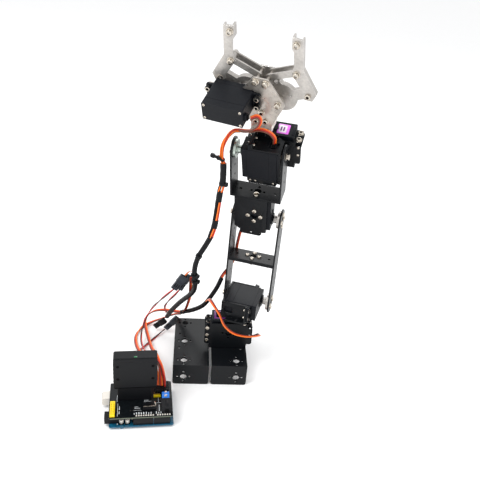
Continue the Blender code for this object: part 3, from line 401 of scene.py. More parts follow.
def head(bm, centre, normal, radius, height, drive="cross", index=0, turn=0.0, dark=None):
    """A screw's head with a domed edge and a recess: cross, hex or none.

    dark is the index of the finish on the floor of a hex recess; a black finish there is painted shade."""
    centre, normal = Vector(centre), Vector(normal).normalized()
    side, other = basis(normal)

    def ring(scale, up, shape=None):
        points = []
        for a in angles(ROUND):
            r = radius * scale * (shape(a) if shape else 1)
            points.append(centre + (side * math.cos(a + turn) + other * math.sin(a + turn)) * r + normal * up)
        return points

    def cross(angle):
        return 1.0 if abs((angle + math.pi / 4) % (math.pi / 2) - math.pi / 4) < 0.3 else 0.36

    def hexagon(angle):
        return math.cos(math.pi / 6) / math.cos(angle % (math.pi / 3) - math.pi / 6)

    if drive == "hex":
        rings = [ring(1, 0), ring(1, height * 0.82), ring(0.95, height * 0.95), ring(0.86, height),
                 ring(0.58, height, hexagon), ring(0.56, height * 0.45, hexagon), ring(0.1, height * 0.4)]
    elif drive == "cross":
        rings = [ring(1, 0), ring(1, height * 0.35), ring(0.93, height * 0.68), ring(0.8, height * 0.9),
                 ring(0.62, height), ring(0.52, height * 0.99, cross), ring(0.42, height * 0.4, cross),
                 ring(0.08, height * 0.35)]
    else:
        rings = [ring(1, 0), ring(1, height * 0.5), ring(0.9, height * 0.85), ring(0.6, height),
                 ring(0.05, height)]
    loft(bm, rings, index)
    # The recess floor in a black finish: painted shade.
    if dark is not None:
        floor = height * 0.56
        loft(bm, [ring(0.52, height * 0.5, hexagon), ring(0.52, floor, hexagon), ring(0.05, floor)], dark)


def washer(bm, centre, normal, outer, inner, thick, index=0):
    """A flat ring with a small chamfer."""
    centre, normal = Vector(centre), Vector(normal).normalized()
    side, other = basis(normal)
    profile = ((inner, 0), (outer, 0), (outer, thick * 0.8), (outer - 0.15, thick), (inner, thick))
    made = [[bm.verts.new(centre + (side * math.cos(a) + other * math.sin(a)) * r + normal * h)
             for a in angles(ROUND)] for r, h in profile]
    for a, b in zip(made, made[1:] + made[:1]):
        for i in range(ROUND):
            j = (i + 1) % ROUND
            bm.faces.new((a[i], a[j], b[j], b[i])).material_index = index


def nut(bm, centre, normal, radius, height):
    """A hexagon nut with turned corners."""
    centre, normal = Vector(centre), Vector(normal).normalized()
    side, other = basis(normal)
    profile = ((0.9, 0), (1, 0.15), (1, 0.85), (0.9, 1), (0.5, 1), (0.45, 0.8))
    loft(bm, [[centre + (side * math.cos(a) + other * math.sin(a)) * radius * r + normal * height * up
               for a in angles(6)] for r, up in profile])


def pillow(bm, low, high, ease_by=0.3, index=0):
    """A box with eased edges."""
    low, high = Vector(low), Vector(high)
    e = min(ease_by, *((high - low) * 0.45))

    def ring(inset, z):
        c = e * 0.6 + 0.02
        x0, y0, x1, y1 = low.x + inset, low.y + inset, high.x - inset, high.y - inset
        return [Vector(p) for p in ((x0 + c, y0, z), (x1 - c, y0, z), (x1, y0 + c, z), (x1, y1 - c, z),
                                    (x1 - c, y1, z), (x0 + c, y1, z), (x0, y1 - c, z), (x0, y0 + c, z))]

    loft(bm, [ring(e, low.z), ring(e * 0.3, low.z + e * 0.3), ring(0, low.z + e), ring(0, high.z - e),
              ring(e * 0.3, high.z - e * 0.3), ring(e, high.z)], index)


def smooth_route(points, spacing):
    """Points along a smooth curve through the route's own points, a spacing apart."""
    route = [Vector(p) for p in points]
    fine = []
    for i in range(len(route) - 1):
        before, after = route[max(i - 1, 0)], route[min(i + 2, len(route) - 1)]
        reach = (route[i + 1] - route[i]).length / 3
        leave = (route[i + 1] - before).normalized() * reach
        arrive = (after - route[i]).normalized() * reach
        fine += interpolate_bezier(route[i], route[i] + leave, route[i + 1] - arrive, route[i + 1], 40)[:-1]
    fine.append(route[-1])
    picked, run = [fine[0]], 0.0
    for a, b in zip(fine, fine[1:]):
        run += (b - a).length
        if run >= spacing:
            picked.append(b)
            run = 0.0
    if (picked[-1] - fine[-1]).length < spacing / 2:
        picked.pop()
    return picked + [fine[-1]]


def strand(bm, line, radius, index, around=0.0, phase=0.0, twist=0.0, flat=None, ribbed=0.0, sides=8):
    """A tube along a line, or one wire of a bundle, which keeps a distance from the line or winds round it.

    flat is the direction that the bundle's wires keep to as the line turns."""
    last = len(line) - 1
    tangents = [(line[min(i + 1, last)] - line[max(i - 1, 0)]).normalized() for i in range(last + 1)]
    side = tangents[0].orthogonal().normalized() if flat is None else Vector(flat)
    side = (side - tangents[0] * side.dot(tangents[0])).normalized()
    rings, run = [], 0.0
    for i, (at, tangent) in enumerate(zip(line, tangents)):
        side = (side - tangent * side.dot(tangent)).normalized()
        if flat is not None:
            side = (side * 0.8 + (Vector(flat) - tangent * tangent.dot(flat)) * 0.3).normalized()
        other = tangent.cross(side)
        if i:
            run += (at - line[i - 1]).length
        angle = phase + twist * run
        centre = at + (side * math.cos(angle) + other * math.sin(angle)) * around
        r = radius * (1 + ribbed * math.sin(run * 2.6))
        rings.append([centre + (side * math.cos(a) + other * math.sin(a)) * r for a in angles(sides)])
    loft(bm, rings, index)


# ------ wiring

# Each cord: its route from the end nearer the gripper, which part.py has too, its diameter, its form, and the
# body that it rides on, or the pair of bodies that it runs between.
ROUTES = {
    "lead_gripper": (
        [(-8.6, -36.5, 323.6), (-4, -35.5, 325), (-0.2, -33.5, 321), (-1.2, -31, 314), (-6, -26, 308.5),
         (-12, -17, 304.5), (-16, -10, 302.5)], 3.2, "ribbon", ("gripper", "wrist")),
    "lead_wrist": (
        [(17.8, -19, 294.6), (16.8, -21.2, 300), (11, -22.3, 305.5), (2, -21, 307.6), (-6, -16, 304.2),
         (-11.5, -9.5, 301.2), (-15.2, -5.4, 300.2)], 3.2, "ribbon", ("wrist",)),
    "harness_wrist": (
        [(-17.4, -6.2, 300.6), (-22.5, -5.6, 299.5), (-28.5, -6, 293), (-32.4, -7.4, 284), (-33, -9, 273),
         (-30.6, -10, 266)], 4.6, "open_harness", ("wrist", "forearm")),
    "harness_elbow": (
        [(-30.6, -10.1, 265), (-30.1, -10.5, 256), (-30.2, -11, 244), (-32, -12, 235), (-33, -13, 225),
         (-34.2, -14.5, 210), (-36, -17, 196),
         (-38.9, -19, 185.9)], 6.2, "half_harness", ("forearm", "middle_link")),
    "harness_shoulder": (
        [(-39.1, -19.1, 185.2), (-44.4, -20, 174.2), (-50.4, -20, 162), (-54, -18.4, 148),
         (-54.4, -15.5, 133), (-53, -12.2, 120)], 6.4, "harness", ("middle_link", "waist")),
    "harness_waist": (
        [(-52.9, -11.6, 118.6), (-54, -5, 106), (-58.4, 3, 94), (-69, 18, 73), (-78.6, 31, 52),
         (-85, 43, 32.6)], 6.4, "harness", ("waist", "base")),
    "lead_elbow": (
        [(-0.6, 21.4, 183.4), (-1.6, 23.4, 177), (-3.4, 26, 168), (-4.6, 28.8, 157), (-5.2, 31, 149),
         (-5.4, 31.4, 145.2)], 3.2, "ribbon", ("forearm", "middle_link")),
    "lead_shoulder": (
        [(-5.4, 31.5, 144.8), (-6, 32, 136), (-8, 32.4, 126), (-13, 31, 116), (-18.4, 27.4, 109.8),
         (-20.6, 24.8, 107.4)], 3.2, "ribbon", ("middle_link", "waist")),
    "branch_waist": (
        [(-21.4, 22.6, 105.2), (-26, 19, 95), (-33, 17.6, 82), (-41, 20.4, 67.5), (-53, 29.5, 53.5),
         (-66.5, 42.5, 40)], 6, "harness", ("waist", "base")),
    "lead_waist": (
        [(-37.2, 12, 80.6), (-35.4, 2, 89.5), (-33.4, -10, 95.2), (-30.2, -20, 96), (-24, -24, 88),
         (-17, -25, 72.5), (-6, -25.2, 61.8), (8, -24.6, 57), (20, -21.5, 55), (26.6, -14.5, 51.5),
         (26, -5, 44), (21, -0.6, 38.6), (14.2, 0, 37.3)], 3.2, "ribbon_edge", ("waist", "base")),
    "lead_plug_first": (
        [(-66.9, 42.9, 39.6), (-76, 50.5, 35), (-88.8, 58, 31), (-103, 68, 21.5), (-111.5, 70, 13),
         (-115, 64, 8.5), (-112.6, 50, 6), (-108, 30, 6.8), (-103.4, 8, 12), (-98.4, -16, 24),
         (-93.4, -40, 38), (-90, -56, 43), (-87.4, -67.4, 38),
         (-86.2, -73.6, 25.2)], 3.2, "ribbon", ("base",)),
    "lead_plug_second": (
        [(-67.9, 45.9, 35), (-76, 55, 27), (-92, 64, 13), (-107, 66, 4.2), (-119, 56, 2.2),
         (-124.6, 40, 2.2), (-122.4, 20, 3.6), (-114, -6, 12), (-103, -34, 30), (-96, -54, 40),
         (-91.6, -66, 36.5), (-89.8, -73, 25.2)], 3.2, "ribbon", ("base",)),
    "lead_plug_third": (
        [(-78, -7.6, 107.4), (-82.6, -5, 101), (-93, 10, 80), (-104, 28, 54), (-112.6, 38, 30),
         (-116.8, 36, 13), (-116, 20, 8), (-109.6, -4, 14.5), (-102, -30, 34), (-96, -50, 46),
         (-88, -64, 46), (-82, -73, 34), (-81.2, -75, 25.2)], 2.2, "pair", ("waist", "base")),
    "lead_power": (
        [(-89.6, 50, 4.4), (-98, 40, 2), (-109, 24, 1.6), (-121, 6, 1.6), (-128, -14, 3), (-131, -38, 12),
         (-131.4, -56, 25), (-130.8, -66, 26.5), (-130.4, -70.5, 17.2)], 2.2, "pair", ("base",)),
}
# Short wires that the CAD leaves out
EXTRA_ROUTES = {
    "wire_joined_rear": (
        [(-71.3, -3, 103.5), (-76, 3, 93), (-83, 14, 77), (-87.6, 24, 62), (-88, 33, 50),
         (-86.6, 39, 42)], 2.2, "pair", ("waist", "base")),
    "wire_joined_drop": (
        [(-57.9, -10, 126), (-57.8, -2, 108), (-57.8, 10, 87.5), (-61.8, 30, 55.3),
         (-65, 41, 42)], 3.2, "ribbon", ("waist", "base")),
    "wire_plug_fourth": (
        [(-98.4, -16, 24), (-95, -40, 41), (-91, -56, 47), (-85.5, -67, 41),
         (-82.6, -73, 25.4)], 3.2, "ribbon", ("base",)),
    "wire_plug_fifth": (
        [(-103, -34, 30), (-98, -52, 44), (-94.5, -64, 42), (-92.6, -71, 34),
         (-92, -73.5, 25.4)], 3.2, "ribbon", ("base",)),
    "wire_joined_feed": (
        [(-54.6, -15.4, 140), (-57.5, -13, 137.4), (-61, -9.4, 134),
         (-64, -8, 129.4)], 2.4, "pair_white", ("waist",)),
}
# The spacing along a line, a ribbon's width, how far its ends go in, and the shortest cord's length
ROUTE_STEP, RIBBON_WIDTH, END_INSIDE, DECLARED_FROM = 1.7, 4.2, 1.4, 30
# Each wire of a form: radius, finish, distance from the middle, twist
STRANDS = {
    "ribbon": [(0.74, "lead_brown", -1.38, 0), (0.74, "lead_red", 0, 0), (0.74, "lead_orange", 1.38, 0)],
    "ribbon_edge": [(0.74, "lead_orange", -1.38, 0), (0.74, "lead_red", 0, 0), (0.74, "lead_brown", 1.38, 0)],
    "pair": [(0.68, "lead_red", -0.68, 0.07), (0.68, "lead_black", 0.68, 0.07)],
    "pair_white": [(0.6, "lead_white", -0.6, 0.1), (0.6, "lead_orange", 0.6, 0.1)],
}
# The wires of an open bundle, and the points of its line between which tape covers them
LOOSE_WIRES = ("lead_orange", "lead_red", "lead_orange", "lead_brown", "lead_red", "lead_orange")
TAPE_BANDS = ((0, 13), (17, 24), (34, 40))
WIRE_FINISHES = ["sleeve_black", "lead_orange", "lead_red", "lead_brown", "lead_black", "lead_white"]
RIBBON_FLAT, EDGE_FLAT, BUNDLE_FLAT = (0.8, 0.2, 0.5), (0.4, 0.8, -0.3), (0.85, -0.2, 0.45)


def wires(bm, line, form, diameter):
    """Fills a bundle's mesh with the wires and the sleeve that its form has."""
    index = WIRE_FINISHES.index
    if form in STRANDS:
        flat = EDGE_FLAT if form == "ribbon_edge" else RIBBON_FLAT
        for radius, name, around, twist in STRANDS[form]:
            phase = 0 if around >= 0 else math.pi
            strand(bm, line, radius, index(name), abs(around), phase, twist, flat=flat)
        return
    sleeve, black = diameter / 2, index("sleeve_black")
    if form == "harness":
        strand(bm, line, sleeve - 0.3, black, sides=14)
        for phase in (0, math.pi):
            for twist in (1.0, -1.0):
                strand(bm, line, 0.5, black, sleeve - 0.5, phase, twist, sides=6)
        return
    for k, name in enumerate(LOOSE_WIRES):
        strand(bm, line, 0.74, index(name), sleeve - 0.85, 0.4 - k * 0.95, 0.012, flat=BUNDLE_FLAT)
    if form == "half_harness":
        strand(bm, line, sleeve * 0.56, black, sleeve * 0.55, math.pi * 0.9, 0, flat=BUNDLE_FLAT, ribbed=0.05,
               sides=12)
        for start, end in TAPE_BANDS:
            strand(bm, line[start:end], sleeve + 0.15, black, ribbed=0.03, sides=16)


def cord_piece(name, route, diameter, form, bodies):
    """A cord's piece, which replaces its CAD solid."""
    line = [AT @ p for p in smooth_route(route, ROUTE_STEP)]
    inside = END_INSIDE * MM
    ends = [a + (a - b).normalized() * inside for a, b in ((line[0], line[1]), (line[-1], line[-2]))]
    bm = bmesh.new()
    wires(bm, [p * PER_METRE for p in (ends[0], *line, ends[1])], form, diameter)
    obj = object_of(name + "_wires", bm, Matrix.Scale(MM, 4), WIRE_FINISHES)
    if name in ROUTES:
        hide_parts(name)
    if len(bodies) == 2:
        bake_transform(obj)
    else:
        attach(obj, bodies[0])


def wiring():
    for name, row in (ROUTES | EXTRA_ROUTES).items():
        cord_piece(name, *row)


# ------ fasteners


def ear_screw(bm, number, y, z):
    """A servo's ear screw with its washer and nut. Servo 6 is fixed from behind."""
    if number == 6:
        washer(bm, (GAP, y, z), -X, 3.1, 1.5, 0.4, index=1)
        head(bm, (-0.1, y, z), -X, 3.1, 2.9, "hex", turn=y + z)
        # A thin steel ring on the black head's top face, round its hex: a painted highlight.
        washer(bm, (-3, y, z), -X, 2.5, 1.6, 0.12, index=1)
    elif number == 5 and y > SERVO_MID:
        washer(bm, (2.8, y, z), X, 3.5, 1.5, 0.4, index=1)
        # Steel head with a black floor in its hex recess: painted shade.
        head(bm, (3.1, y, z), X, 2.7, 1.5, "hex", index=1, turn=y + z, dark=0)
    else:
        washer(bm, (2.8, y, z), X, 2.6, 1.5, 0.35, index=1)
        head(bm, (3.1, y, z), X, 2.2, 1.7, "hex", turn=y + z)
        head(bm, (-2, y, z), -X, 1.35, 1.8, "none", index=1)


def servo_details():
    """Each servo's ear screws, cover screws, cover seams and rear cover, and the lip under servo 4."""
    for number in range(1, 7):
        name = f"servo_{number}"
        body = SERVO_BODY[name]
        bm = bmesh.new()
        for y in (SERVO_MID - EAR_SPAN, SERVO_MID + EAR_SPAN):
            if number == 3 and y > SERVO_MID:
                continue
            for z in (-EAR_SIDE, EAR_SIDE):
                ear_screw(bm, number, y, z)
        piece(f"{name}_ear_screws", bm, name, body, ["black_screw", "steel"])
        bm = bmesh.new()
        for y in (CASE_LOW + 2.5, CASE_HIGH - 2.5):
            for z in (-CASE_HALF + 2.4, CASE_HALF - 2.4):
                head(bm, (SERVO_BOTTOM + 0.05, y, z), -X, 1.45, 0.75, "cross", turn=y * z)
        piece(f"{name}_cover_screws", bm, name, body, ["steel"])
        bm = bmesh.new()
        for x in (-18.6, 4.6):
            seam(bm, x)
        piece(f"{name}_seams", bm, name, body, ["near_black_and_painted_shade"])
        if number < 6:
            bm = bmesh.new()
            pillow(bm, (-28.6, CASE_LOW + 0.8, -9), (-26.5, CASE_HIGH - 0.8, 9.4))
            piece(f"{name}_base", bm, name, body, ["servo_black"])

    bm = bmesh.new()
    pillow(bm, (-27, 30.2, 7.5), (5, 35.2, 9.6), 0.5)
    pillow(bm, (-26, 34.6, 7.0), (4, 38.6, 8.6), 0.5)
    for x in (-23.4, -4, 1.6):
        head(bm, (x, 33, 9.6), Z, 1.3, 0.6, "cross", index=1, turn=x)
    piece("servo_4_lip", bm, "servo_4", "wrist", ["black_bracket", "steel"])


def bracket_fasteners():
    """The screws, nuts and washers that hold the brackets to the horns, to the servos and to each other."""
    right_arm = [((ARM_OUT, a, b), X) for a, b in PLUS]
    web = [((a, b, WEB + 2.3), Z) for a, b in PLUS]
    back = [((-8 + a, SERVO_MID + b, BACK), Z) for a, b in PLUS]
    tab_pair = (-0.9, -11.1)
    screws = {
        "back_3": ("servo_3", "forearm", back, 2.5, 1.7, "cross"),
        "elbow": ("elbow", "middle_link", right_arm, 2.5, 1.6, "cross"),
        "shoulder": ("middle_link", "middle_link", right_arm, 2.5, 1.6, "cross"),
        "wrist": ("wrist", "forearm", [((-ARM_OUT, a, b), -X) for a, b in PLUS], 2.5, 1.6, "cross"),
        "middle_web": ("middle_link", "middle_link", web, 2.6, 1.9, "cross"),
        "forearm_web": ("forearm", "forearm", [((0, -7, 35.1), Z)], 3.1, 2.2, "hex"),
        "tab_1": ("servo_1", "base", [((x, TAB, BACK), Z) for x in tab_pair], 2.2, 1.1, "hex"),
        "tab_1_low": ("servo_1", "base", [((-18.4, TAB, BACK), Z)], 2.2, 1.1, "hex"),
        "tab_2": ("servo_2", "waist", [((-0.9, TAB, BACK), Z)], 2.2, 1.1, "hex"),
        "tab_5": ("servo_5", "wrist", [((x, TAB, -BACK), -Z) for x in tab_pair], 1.5, 0.5, "none"),
        "foot": ("gripper", "gripper", [((-GRIP_X + a, b, 23.65), Z) for a, b in PLUS], 2.4, 1.7, "cross"),
    }
    for name, (place, body, spots, radius, height, drive) in screws.items():
        bm = bmesh.new()
        for k, (spot, normal) in enumerate(spots):
            head(bm, spot, normal, radius, height, drive, turn=0.5 + k * 1.3)
        piece(f"screws_{name}", bm, place, body, ["steel"])
    bm = bmesh.new()
    for a, b in PLUS:
        nut(bm, (a, b, WEB - 2), -Z, 2.9, 2.2)
    piece("nuts_middle_web", bm, "middle_link", "middle_link", ["steel"])
    for name, place, body, side in (("shoulder", "middle_link", "middle_link", 1),
                                    ("elbow", "elbow", "middle_link", 1), ("wrist", "wrist", "forearm", -1)):
        bm = bmesh.new()
        head(bm, (side * 25.4, 0, 0), X * side, 2.7, 1.9, "cross", turn=0.7)
        piece(f"horn_screw_{name}", bm, place, body, ["black_screw"])
    for number, place, body in ((2, "middle_link", "waist"), (3, "servo_3", "forearm"),
                                (4, "servo_4", "wrist")):
        bm = bmesh.new()
        out = -(ARM_IN + EAR_PLANE + 2) + (EAR_PLANE if place == "middle_link" else 0)
        washer(bm, (out - 0.35, 0, 0), -X, 4.0, 2.1, 0.5)
        head(bm, (out - 3.2, 0, 0), -X, 3.05, 0.9, "cross", turn=0.3)
        piece(f"pivot_{number}_washer", bm, place, body, ["steel"])


def seam(bm, x):
    """A thin dark line round a servo's case, where a cover meets it."""
    bend = 1.2
    low, high, half = CASE_LOW + bend, CASE_HIGH - bend, CASE_HALF - bend

    def ring(out, at):
        points = []
        for cy, cz, start in ((high, half, 0), (low, half, 90), (low, -half, 180), (high, -half, 270)):
            for step in range(4):
                a, r = math.radians(start + step * 30), bend + out
                points.append(Vector((at, cy + r * math.cos(a), cz + r * math.sin(a))))
        return points

    loft(bm, [ring(-0.2, x - 0.11), ring(0.04, x - 0.11), ring(0.04, x + 0.11), ring(-0.2, x + 0.11)],
         low_cap=False, high_cap=False)


def cap_screw(bm, x, z, face, ring, radius, height, turn, lift=0.3):
    """A cap screw on a face that looks forward. ring is its washer's outer and inner radius and height."""
    washer(bm, (x, face, z), -Y, *ring)
    # The hex recess's floor in the second finish, near black: painted shade.
    head(bm, (x, face - lift, z), -Y, radius, height, "hex", turn=turn, dark=1)


def gripper_details():
    """Cap screws over the plain pivot heads, each on the body that carries it."""
    # The second finish blackens the hex recesses' floors: painted shade.
    finish = ["steel", "near_black_and_painted_shade"]
    bm = bmesh.new()
    for x, z in ((LINK_X, LINK_Z), (-LINK_X, LINK_Z), (GEAR_X, GEAR_Z)):
        cap_screw(bm, x, z, PLATE_FACE, (3.6, 1.5, 0.5), 2.85, 3.1, x, lift=0.4)
    piece("gripper_pivot_screws", bm, "gripper", "gripper", finish)
    for side, name in ((-1, "left"), (1, "right")):
        low = Vector((side * (GEAR_X + REACH.x), 0, GEAR_Z + REACH.z))
        mid = Vector((side * (LINK_X + REACH.x), 0, LINK_Z + REACH.z))
        tip = mid + Vector((side * TIP_RISE.x, 0, TIP_RISE.z))
        bm = bmesh.new()
        # Also a black hex recess floor: painted shade.
        head(bm, (low.x, FINGER_FACE, low.z), -Y, 2.8, 0.5 if side < 0 else 2.0, "hex", turn=0.4, dark=1)
        for at in (mid, tip):
            cap_screw(bm, at.x, at.z, FINGER_FACE, (3.5, 1.5, 0.45), 2.85, 2.8, at.z)
        piece(f"finger_{name}_screws", bm, "gripper", f"finger_{name}", finish)
    bm = bmesh.new()
    for x, z in ((0.6, 47.5), (-4.8, 36), (4.6, 37.4)):
        cap_screw(bm, x, z, PLATE_FACE, (3.3, 1.4, 0.4), 2.75, 2.0, z)
    piece("gripper_tail_screws", bm, "gripper", "gripper", finish)


# ------ labels


def plate(bm, x, low, high, thick, index):
    """A thin plate with cut corners on a servo's top."""
    def ring(at, inset):
        y0, z0, y1, z1 = low[0] + inset, low[1] + inset, high[0] - inset, high[1] - inset
        d = min(0.6, (y1 - y0) / 3, (z1 - z0) / 3)
        return [Vector((at, y, z)) for y, z in ((y0 + d, z0), (y1 - d, z0), (y1, z0 + d), (y1, z1 - d),
                                                (y1 - d, z1), (y0 + d, z1), (y0, z1 - d), (y0, z0 + d))]

    loft(bm, [ring(x, 0), ring(x + thick * 0.6, 0), ring(x + thick, 0.05)], index)


def labels():
    """Plain coloured labels, with no marks but bars."""
    bm = bmesh.new()
    plate(bm, SERVO_TOP, (11.6, -6.8), (23.8, 6.8), 0.12, 0)
    plate(bm, SERVO_TOP + 0.1, (13, -5), (21, 5), 0.08, 1)
    for k in range(2):
        plate(bm, SERVO_TOP + 0.16, (14.6 + k * 2.8, -3.2), (16.2 + k * 2.8, 3.2), 0.06, 2)
    colours = ["label_violet", "label_white", "label_dark_violet"]
    piece("servo_5_label", bm, "servo_5", "wrist", colours)
    bm = bmesh.new()
    plate(bm, SERVO_TOP, (13, -8), (28, 8), 0.12, 0)
    plate(bm, SERVO_TOP + 0.1, (15.4, -5.6), (25.6, 5.6), 0.08, 1)
    piece("servo_1_label", bm, "servo_1", "base", ["label_dark_violet", "near_black_and_painted_shade"])
    bm = bmesh.new()
    pillow(bm, (6.5, 27.2, -7), (10.3, 29.6, 7))
    piece("servo_5_rib", bm, "servo_5", "wrist", ["servo_black"])


# ------ the controller's parts


def board_components():
    """Headers, pins, solder, chips, passives and plain dashes on the two boards."""
    materials = ["moulded_black", "steel", "gold_pin", "silk_white", "header_yellow", "tin_plate",
                 "board_edge"]
    black, silver, gold, white, yellow, tin, edge = range(len(materials))
    top = SHIELD_TOP
    bm = bmesh.new()
    for row in range(2):
        for k in range(7):
            x, y = 2.15 + row * PITCH, 2.9 + k * 2.6
            pillow(bm, (x, y, 19.3), (x + 0.8, y + 0.8, 20.9), 0.15, gold)
    for x in (13.2, 19.6):
        can(bm, (x, 5.4, BOARD_TOP), 2.5, 5.6, tin, black)
    pillow(bm, (36, 9.4, top), (50, 20, top + 2.2), 0.35, black)
    pillow(bm, (36.2, 12.4, top + 1.9), (49.4, 13.7, top + 3.2), 0.25, silver)
    pillow(bm, (47.9, 12.6, top + 1.9), (49.6, 19.4, top + 3.2), 0.25, silver)
    pillow(bm, (38, 15.4, top + 2.1), (45.4, 19.4, top + 3.4), 0.3, black)
    for y, left in ((2.6, 25.85), (50.7, 17.85)):
        for x0, x1 in ((left, 47.0), (47.3, 64.75)):
            pillow(bm, (x0, y - 1.36, BOARD_TOP + 0.02), (x1, y + 1.36, 14.5), 0.12, black)
    for k in range(4):
        x = 47.4 + k * 2
        pillow(bm, (x, 28.2, top), (x + 1.8, 30.6, top + 2.6), 0.2, yellow)
        pillow(bm, (x + 0.6, 29.1, top + 2), (x + 1.2, 29.7, top + 5.2), 0.1, gold)
    for count, first, y, radius in ((8, 29, 2.6, 1.0), (6, 51.6, 2.6, 1.0), (16, 26, 50.7, 0.85)):
        for k in range(count):
            solder(bm, (first + k * PITCH, y, top), radius, tin)
    pillow(bm, (1.6, 0.16, 14.85), (66, 0.4, 16.15), 0.08, edge)
    for k in range(4):
        x = 28.6 + k * PITCH
        pillow(bm, (x, 5.2, top), (x + 0.6, 7.4, top + 0.12), 0.04, white)
    for k in range(13):
        x = 26.4 + k * PITCH + (3 if k > 7 else 0)
        pillow(bm, (x, 4.3, top), (x + 0.7, 6.5 + (k % 3) * 0.5, top + 0.1), 0.03, white)
    for x0, y0, x1, y1 in ((9, 3, 9.35, 21), (48, 20, 66, 20.3), (26, 10.2, 34, 10.45), (8, 24, 8.3, 34),
                           (52.4, 21, 52.7, 28), (37, 22.4, 45, 22.9), (37, 24.2, 42, 24.7),
                           (10.6, 6, 11.2, 10), (10.6, 12, 11.2, 17), (53, 8, 53.6, 17),
                           (46.6, 10, 47.2, 19), (27, 13, 33, 13.4), (27, 15, 31, 15.4)):
        pillow(bm, (x0, y0, top), (x1, y1, top + 0.1), 0.03, white)
    pillow(bm, (24, 42.6, top), (34, 46.6, top + 1.6), 0.25, black)
    for k in range(7):
        for y0, y1 in ((41.5, 42.7), (46.5, 47.7)):
            pillow(bm, (24.8 + k * 1.27, y0, top), (25.3 + k * 1.27, y1, top + 0.5), 0.08, silver)
    for x, y in ((22.5, 9.5), (25, 13.5), (53.5, 24.5), (56, 33.0), (12, 40), (16, 44), (40, 44)):
        pillow(bm, (x, y, top), (x + 1.7, y + 0.9, top + 0.55), 0.12, black)
        pillow(bm, (x - 0.35, y, top), (x + 0.2, y + 0.9, top + 0.5), 0.1, silver)
        pillow(bm, (x + 1.5, y, top), (x + 2.05, y + 0.9, top + 0.5), 0.1, silver)
    for k in range(18):
        x = 19.2 + k * PITCH
        pillow(bm, (x, 1.25, 12.6), (x + 0.5, 1.75, 14.4), 0.08, silver)
    for y in (3, 5):
        pillow(bm, (8.5, y, BOARD_TOP), (9.5, y + 1.4, 4.6), 0.15, white)
    pillow(bm, (24.6, 5.2, BOARD_TOP), (28.6, 8.2, 5.4), 0.25, black)
    piece("board_components", bm, "controller", "base", materials)


def board_sockets():
    """The screws, mouths and barrel of the terminal and the sockets; the mouths' insides are near-black
    plates and discs, painted shade.
    """
    top = SHIELD_TOP
    bm = bmesh.new()
    for y in (22.7, 27.7):
        head(bm, (60.4, y, top + 7.9), Z, 1.75, 0.45, "cross", turn=y)
        # A near-black plate in each wire mouth of the terminal: painted shade.
        pillow(bm, (56.1, y - 1.5, top + 1.4), (56.6, y + 1.5, top + 4.2), 0.15, 1)
    piece("terminal_screws", bm, "controller", "base", ["steel", "near_black_and_painted_shade"])
    bm = bmesh.new()
    # A near-black plate in the USB socket's mouth, round its white tongue: painted shade.
    pillow(bm, (-8.75, 33.2, 5.4), (-8.3, 42.8, 12.6), 0.25, 0)
    pillow(bm, (-8.9, 35.4, 7.4), (-8.5, 40.6, 10.2), 0.2, 1)
    piece("usb_mouth", bm, "controller", "base", ["near_black_and_painted_shade", "label_white"])
    bm = bmesh.new()
    mouth = (-4.6, 9.0, 9.0)
    # A near-black ring and disc in the DC socket's mouth, round its pin: painted shade.
    washer(bm, mouth, -X, 3.9, 2.9, 0.2)
    head(bm, mouth, -X, 2.9, 0.12, "none")
    head(bm, mouth, -X, 0.9, 0.5, "none", 1)
    piece("dc_mouth", bm, "controller", "base", ["near_black_and_painted_shade", "steel"])
    bm = bmesh.new()
    mouth = (61.3, 3.6, top + 4.4)
    washer(bm, mouth, -Y, 3.4, 2.7, 0.25)
    # A near-black disc in the barrel's mouth: painted shade.
    head(bm, mouth, -Y, 2.7, 0.12, "none", 1)
    barrel(bm, 61.3, 5.5, 18.4, 5.4, top + 4.2)
    piece("power_barrel", bm, "controller", "base", ["moulded_black", "near_black_and_painted_shade"])


def servo_plugs():
    """The plugs that stand side by side on the shield's pins, in place of their plain block."""
    top = SHIELD_TOP
    bm = bmesh.new()
    for column in range(2):
        for row in range(5):
            x, y = 49.6 + column * 7.5, 31.6 + row * 2.88
            lift = 0.25 * ((row * 3 + column) % 3)
            pillow(bm, (x, y, top + 0.3), (x + 7.3, y + 2.66, top + 7.3 + lift), 0.3, 0)
            for k in range(3):
                left = x + 0.5 + k * 2.3
                # A near-black plate in each contact window: painted shade.
                pillow(bm, (left, y - 0.05, top + 2.4), (left + 1.4, y + 0.2, top + 5.4), 0.1, 1)
    plugs = piece("servo_plugs", bm, "controller", "base", ["moulded_black", "near_black_and_painted_shade"])
    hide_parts("servo_plug_block")


def receiver_details():
    """Marks of the receiver's screws, whose holes get near-black discs of painted shade, its top band and
    seam, its lamp, and the ribs on its sides.
    """
    bm = bmesh.new()
    for x in (9.6, 46.4):
        for z in (48.5, 65.5):
            washer(bm, (x, RECEIVER_FACE, z), -Y, 2.3, 1.7, 0.15)
            # A near-black disc in each screw hole: painted shade.
            head(bm, (x, RECEIVER_FACE, z), -Y, 1.7, 0.08, "none", 1)
    pillow(bm, (7, RECEIVER_FACE - 0.4, 71.5), (49, RECEIVER_FACE + 0.6, 76), 0.5, 0)
    pillow(bm, (6.0, RECEIVER_FACE - 0.5, 35.6), (50.0, RECEIVER_FACE + 0.5, 36.3), 0.2, 1)
    pillow(bm, (26.6, 25, 76.7), (30, 26.8, 77.4), 0.3, 2)
    for x in (4.6, 50.2):
        for k in range(5):
            pillow(bm, (x, 26.4, 42 + k * 5.4), (x + 1.2, 33.6, 44.6 + k * 5.4), 0.4, 0)
    finish = ["moulded_black", "near_black_and_painted_shade", "led_green"]
    piece("receiver_details", bm, "controller", "base", finish)


